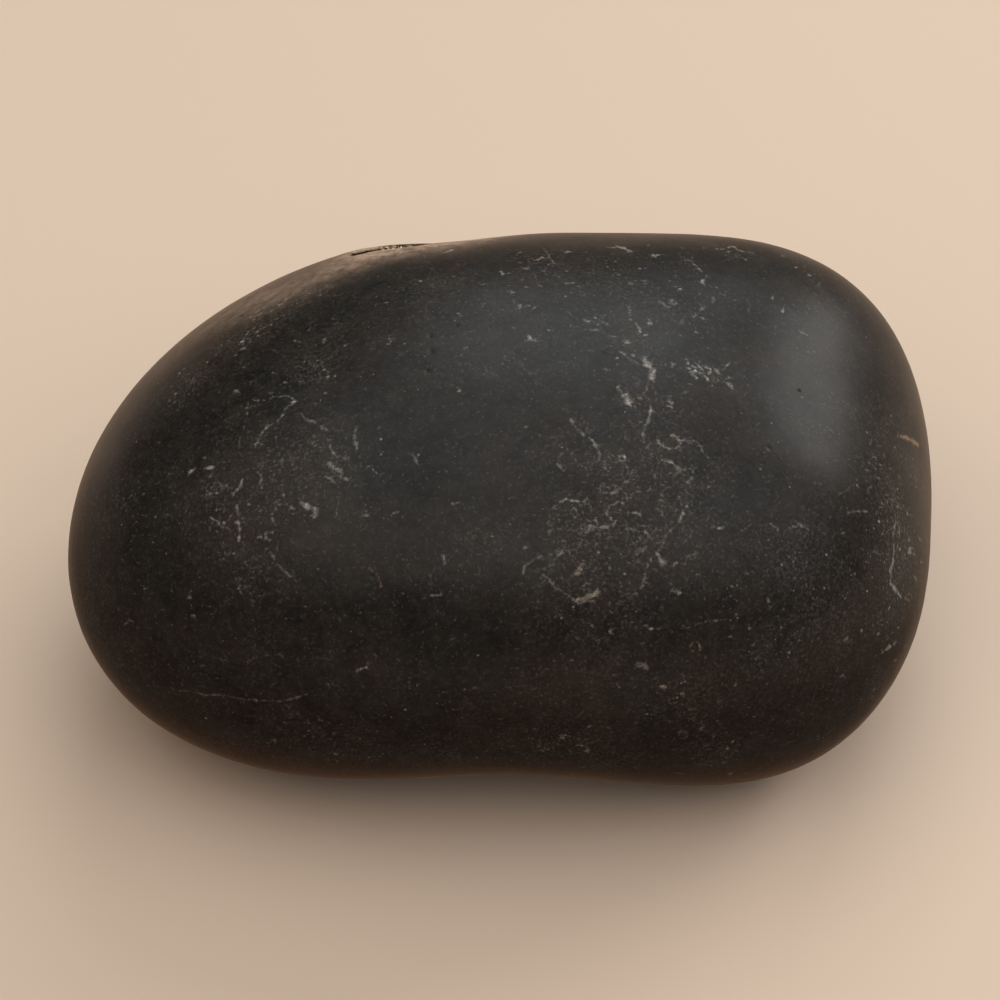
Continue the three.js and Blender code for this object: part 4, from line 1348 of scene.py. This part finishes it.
lump_noise = add(
    tree, "ShaderNodeTexNoise",
    {"Vector": place, "Scale": per_metre(LUMP_MM), "Detail": 3, "Roughness": 0.75},
)
lumps = add(
    tree, "ShaderNodeMapRange",
    {"Value": lump_noise, "From Min": 0.34, "From Max": 0.66, "To Min": -0.45, "To Max": 0.25},
)
uneven_ink = add(tree, "ShaderNodeMath", {0: vein_ink, 1: lumps}, operation="ADD")
line_of_ink = add(tree, "ShaderNodeMapRange", {"Value": uneven_ink, "From Min": 0.08, "From Max": 1.1})
thickness_noise = add(
    tree, "ShaderNodeTexNoise",
    {"Vector": place, "Scale": per_metre(THICKNESS_MM), "Detail": 2, "Roughness": 0.6},
)
thickness = add(
    tree, "ShaderNodeMapRange",
    {"Value": thickness_noise, "From Min": 0.35, "From Max": 0.7, "To Min": 0.4, "To Max": 0.9},
)
thin_chalk = add(tree, "ShaderNodeMath", {0: line_of_ink, 1: thickness}, operation="MULTIPLY")
beading = add(tree, "ShaderNodeMapRange", {"Value": specks, "To Min": 0.55, "To Max": 1.25})
vein = add(tree, "ShaderNodeMath", {0: thin_chalk, 1: beading}, operation="MULTIPLY", use_clamp=True)
vein_colour = add(
    tree, "ShaderNodeMix", {MIX_FACTOR: tan_tone, MIX_UNDER: CHALK, MIX_OVER: TAN}, data_type="RGBA"
)
layers.append((vein, vein_colour.outputs[MIX_RESULT]))
print(len(layers), "layers with the veins")

# %% [markdown]
# ### The mouth
#
# Inside, the mouth was never rubbed. Its middle is lined with rough crystals, golden brown and
# nearly black side by side. Deep in the hollow, and at its ends where it narrows to a crack, the
# lining is painted nearly black as painted shade. Each crystal is one cell of a Voronoi texture and
# has its own chance of being golden, which falls towards that painted shade. Crystals modelled one
# by one would be hidden in the dark anyway, and the coarse grains in the mesh already break the light.

# %% Crystals and painted shade in the mouth
CRYSTAL_MM = 0.36
# Nearly black crystals, and the painted shade deep in the mouth and along its crack.
DARK_CRYSTAL_AND_SHADE = linear("#1a110a")
CRYSTAL_GOLD = linear("#d6ba92")

crystals = add(tree, "ShaderNodeTexVoronoi", {"Vector": shaken_place, "Scale": per_metre(CRYSTAL_MM)})
crystal_chance = add(tree, "ShaderNodeSeparateColor", {"Color": crystals.outputs["Color"]})
chance_here = add(
    tree, "ShaderNodeMath", {0: crystal_chance.outputs[0], 1: crystals_out_of_shade}, operation="MULTIPLY"
)
golden = add(tree, "ShaderNodeMapRange", {"Value": chance_here, "From Min": 0.34, "From Max": 0.84})
lining_with_painted_shade = add(
    tree, "ShaderNodeMix",
    {MIX_FACTOR: golden, MIX_UNDER: DARK_CRYSTAL_AND_SHADE, MIX_OVER: CRYSTAL_GOLD}, data_type="RGBA"
)
layers.append((in_mouth, lining_with_painted_shade.outputs[MIX_RESULT]))
print(len(layers), "layers with the crystals")

# %% [markdown]
# ### The layers together
#
# A Mix node for each layer lays its colour where its mask is 1, over all that came before it. Each
# layer could be laid where it was made, but one loop shows their order, and the masks stay free for
# the gloss and the oil below, which are thinner or rougher in the same places.

# %% Lay the colours over each other
ground = BLACK
for mask, colour in layers:
    laid = add(
        tree, "ShaderNodeMix", {MIX_FACTOR: mask, MIX_UNDER: ground, MIX_OVER: colour}, data_type="RGBA"
    )
    ground = laid.outputs[MIX_RESULT]
print(len(layers), "layers lie on the black")

# %% [markdown]
# ### Gloss and fine relief
#
# The gloss is that of satin: a roughness near one half, a little higher in the wisps of haze, and
# much higher on chalk and crystals. The finest relief is a bump of a few thousandths of a
# millimetre: the grain, and scratches that run mostly along the stone, made from a noise stretched
# to lines seven millimetres long and little more than a tenth wide.

# %% Roughness
CHALK_ROUGHER = 0.25
MOUTH_ROUGHER = 0.35

roughness = add(
    tree, "ShaderNodeMapRange",
    {"Value": wisp_noise, "From Min": 0.3, "From Max": 0.7, "To Min": 0.5, "To Max": 0.58},
)
for mask, rougher in ((vein, CHALK_ROUGHER), (in_mouth, MOUTH_ROUGHER)):
    roughness = add(
        tree, "ShaderNodeMath", {0: mask, 1: rougher, 2: roughness}, operation="MULTIPLY_ADD",
        use_clamp=True,
    )
print("chalk is", CHALK_ROUGHER, "rougher than the skin, and the mouth", MOUTH_ROUGHER)

# %% Scratches and grain as bump
# all in mm
GRAIN_RISE = 0.012
SCRATCH_DEPTH = 0.006
SCRATCH_LENGTH = 7
SCRATCH_WIDTH = 0.13
SCRATCH_TURNS = [
    # turn about z and about x, in degrees
    (12, 30),
    (-38, 60),
]

bump_mm = add(tree, "ShaderNodeMath", {0: grain_noise, 1: GRAIN_RISE}, operation="MULTIPLY")
for turn_z, turn_x in SCRATCH_TURNS:
    stretched = add(
        tree, "ShaderNodeMapping",
        {
            "Vector": place,
            "Rotation": (math.radians(turn_x), 0, math.radians(turn_z)),
            "Scale": (per_metre(SCRATCH_LENGTH), per_metre(SCRATCH_WIDTH), per_metre(SCRATCH_WIDTH)),
        },
    )
    strands = add(tree, "ShaderNodeTexNoise", {"Vector": stretched, "Scale": 1, "Detail": 1})
    scratch = add(
        tree, "ShaderNodeMapRange",
        {"Value": strands, "From Min": 0.66, "From Max": 0.78, "To Max": -SCRATCH_DEPTH},
    )
    bump_mm = add(tree, "ShaderNodeMath", {0: bump_mm, 1: scratch}, operation="ADD")
bump = add(tree, "ShaderNodeBump", {"Height": bump_mm, "Distance": MM, "Strength": 1})
print("scratches run in", len(SCRATCH_TURNS), "directions")

# %% [markdown]
# ### The skin of oil
#
# Bare mud stone is too rough to mirror anything. But a stone of this kind is touched and oiled in
# worship for years, and the oil fills its pores. That thin skin of oil is the shader's coat, and it
# gives nearly all of the gloss. It is patchy, and thinner over grain, stains, chalk, the dust and
# painted rim glow, and crystals, so it makes the soft clouds in the bloom on top. Low on the belly
# there is least of it, for there the stone lies on its cushion, and the blunt end, by which it is
# held, keeps more.

# %% Oil film
FILM_MM = 13
BELLY_FILM = 0.32
FILM_LOST = [
    # a mask, and how much film is missing where it is 1
    (grain, 0.12),
    (stain, 0.06),
    (vein, 0.2),
    (dust_and_glow, 0.3),
    (in_mouth, 0.6),
]

film_noise = add(
    tree, "ShaderNodeTexNoise",
    {"Vector": place, "Scale": per_metre(FILM_MM), "Detail": 5, "Roughness": 0.5},
)
film = add(
    tree, "ShaderNodeMapRange",
    {"Value": film_noise, "From Min": 0.3, "From Max": 0.7, "To Min": 0.3, "To Max": 0.48},
)
rubbed = add(tree, "ShaderNodeMapRange", {"Value": belly, "To Min": 1, "To Max": BELLY_FILM})
film_left = add(tree, "ShaderNodeMath", {0: film, 1: rubbed}, operation="MULTIPLY")
for mask, lost in FILM_LOST:
    film_left = add(
        tree, "ShaderNodeMath", {0: mask, 1: -lost, 2: film_left}, operation="MULTIPLY_ADD",
        use_clamp=True,
    )
print("the film is thinner in", len(FILM_LOST), "kinds of place, and on the belly")

# %% [markdown]
# ### The shader
#
# The stone under the oil is a plain Principled shader with hardly any shine of its own. Over the
# whole skin lies a breath of fine dust. It is the shader's sheen, a little light that only shows
# where the stone is seen edge on.

# %% The shader
DUST_TINT = linear("#f2c39c")

shader = add(
    tree, "ShaderNodeBsdfPrincipled",
    {
        "Base Color": ground,
        "Roughness": roughness,
        "Normal": bump,
        "IOR": 1.5,
        "Specular IOR Level": 0.01,
        "Coat Weight": film_left,
        "Coat Roughness": 0.37,
        "Sheen Weight": 0.22,
        "Sheen Roughness": 0.27,
        "Sheen Tint": DUST_TINT,
    },
)
add(tree, "ShaderNodeOutputMaterial", {"Surface": shader})
worn_stone_mesh.materials.append(shale)
print("the material has", len(tree.nodes), "nodes")

# %% [markdown]
# ## Floor and light
#
# The stone lies on a plain pale floor. The light is that of a small white tent: soft on all sides
# and strongest overhead. One box above and behind the stone has its mirror image in the grey bloom
# on its top. A smaller one low on the right makes the bright patch on the blunt shoulder. Black
# stone shows little but what it mirrors, so the boxes are placed by that, and the room beyond the
# tent is nearly dark.

# %% Floor
FLOOR_SIDE = 6

floor_mesh = bpy.data.meshes.new("floor")
floor_net = bmesh.new()
bmesh.ops.create_grid(floor_net, x_segments=1, y_segments=1, size=FLOOR_SIDE / 2)
floor_net.to_mesh(floor_mesh)
floor_net.free()
floor = bpy.data.objects.new("floor", floor_mesh)
bpy.context.scene.collection.objects.link(floor)
floor_paint = bpy.data.materials.new("pale_matt_paint")
floor_paint.use_nodes = True
floor_shader = floor_paint.node_tree.nodes["Principled BSDF"]
floor_shader.inputs["Base Color"].default_value = linear("#d6c1ae")
floor_shader.inputs["Roughness"].default_value = 0.95
floor_shader.inputs["Specular IOR Level"].default_value = 0.1
floor_mesh.materials.append(floor_paint)
print("the floor is", FLOOR_SIDE, "m wide")

# %% Soft boxes
ROOM_LIGHT = 0.02
SOFT_BOXES = [
    # name, azimuth from straight behind the stone towards its right, elevation, distance, width
    # and height in metres, roll in degrees, power in watts, colour
    ("overhead", 0, 86, 0.9, 1.2, 0.9, 0, 4.4, "#fdffff"),
    ("above_behind", 11, 43, 0.9, 0.54, 0.5, 0, 2.45, "#faffff"),
    ("right_shoulder", 52, 25, 0.9, 0.46, 0.24, -12, 2.65, "#fffdf9"),
    ("left", -100, 46, 0.9, 0.7, 0.6, 0, 1.2, "#ffe9cf"),
    ("right", 110, 42, 0.9, 0.7, 0.6, 0, 1.6, "#fffbf8"),
    ("front", 180, 52, 0.9, 1.1, 0.5, 0, 2.5, "#fffaf5"),
]


def soft_box(name, azimuth, elevation, distance, width, height, roll, power, colour):
    """A rectangular area light that faces the stone."""
    data = bpy.data.lights.new(name, "AREA")
    data.shape = "RECTANGLE"
    data.size = width
    data.size_y = height
    data.energy = power
    data.color = linear(colour)[:3]
    box = bpy.data.objects.new(name, data)
    bpy.context.scene.collection.objects.link(box)
    outward = direction_of(90 - azimuth, elevation)
    box.location = HEART + distance * outward
    facing = (-outward).to_track_quat("-Z", "Y").to_matrix()
    box.rotation_euler = (facing @ Matrix.Rotation(math.radians(roll), 3, "Z")).to_euler()


for settings in SOFT_BOXES:
    soft_box(*settings)

world = bpy.data.worlds.new("studio")
world.use_nodes = True
background = world.node_tree.nodes["Background"]
background.inputs["Color"].default_value = linear("#fff1e4")
background.inputs["Strength"].default_value = ROOM_LIGHT
bpy.context.scene.world = world
bpy.context.scene.view_settings.view_transform = "Standard"
print(len(SOFT_BOXES), "soft boxes")
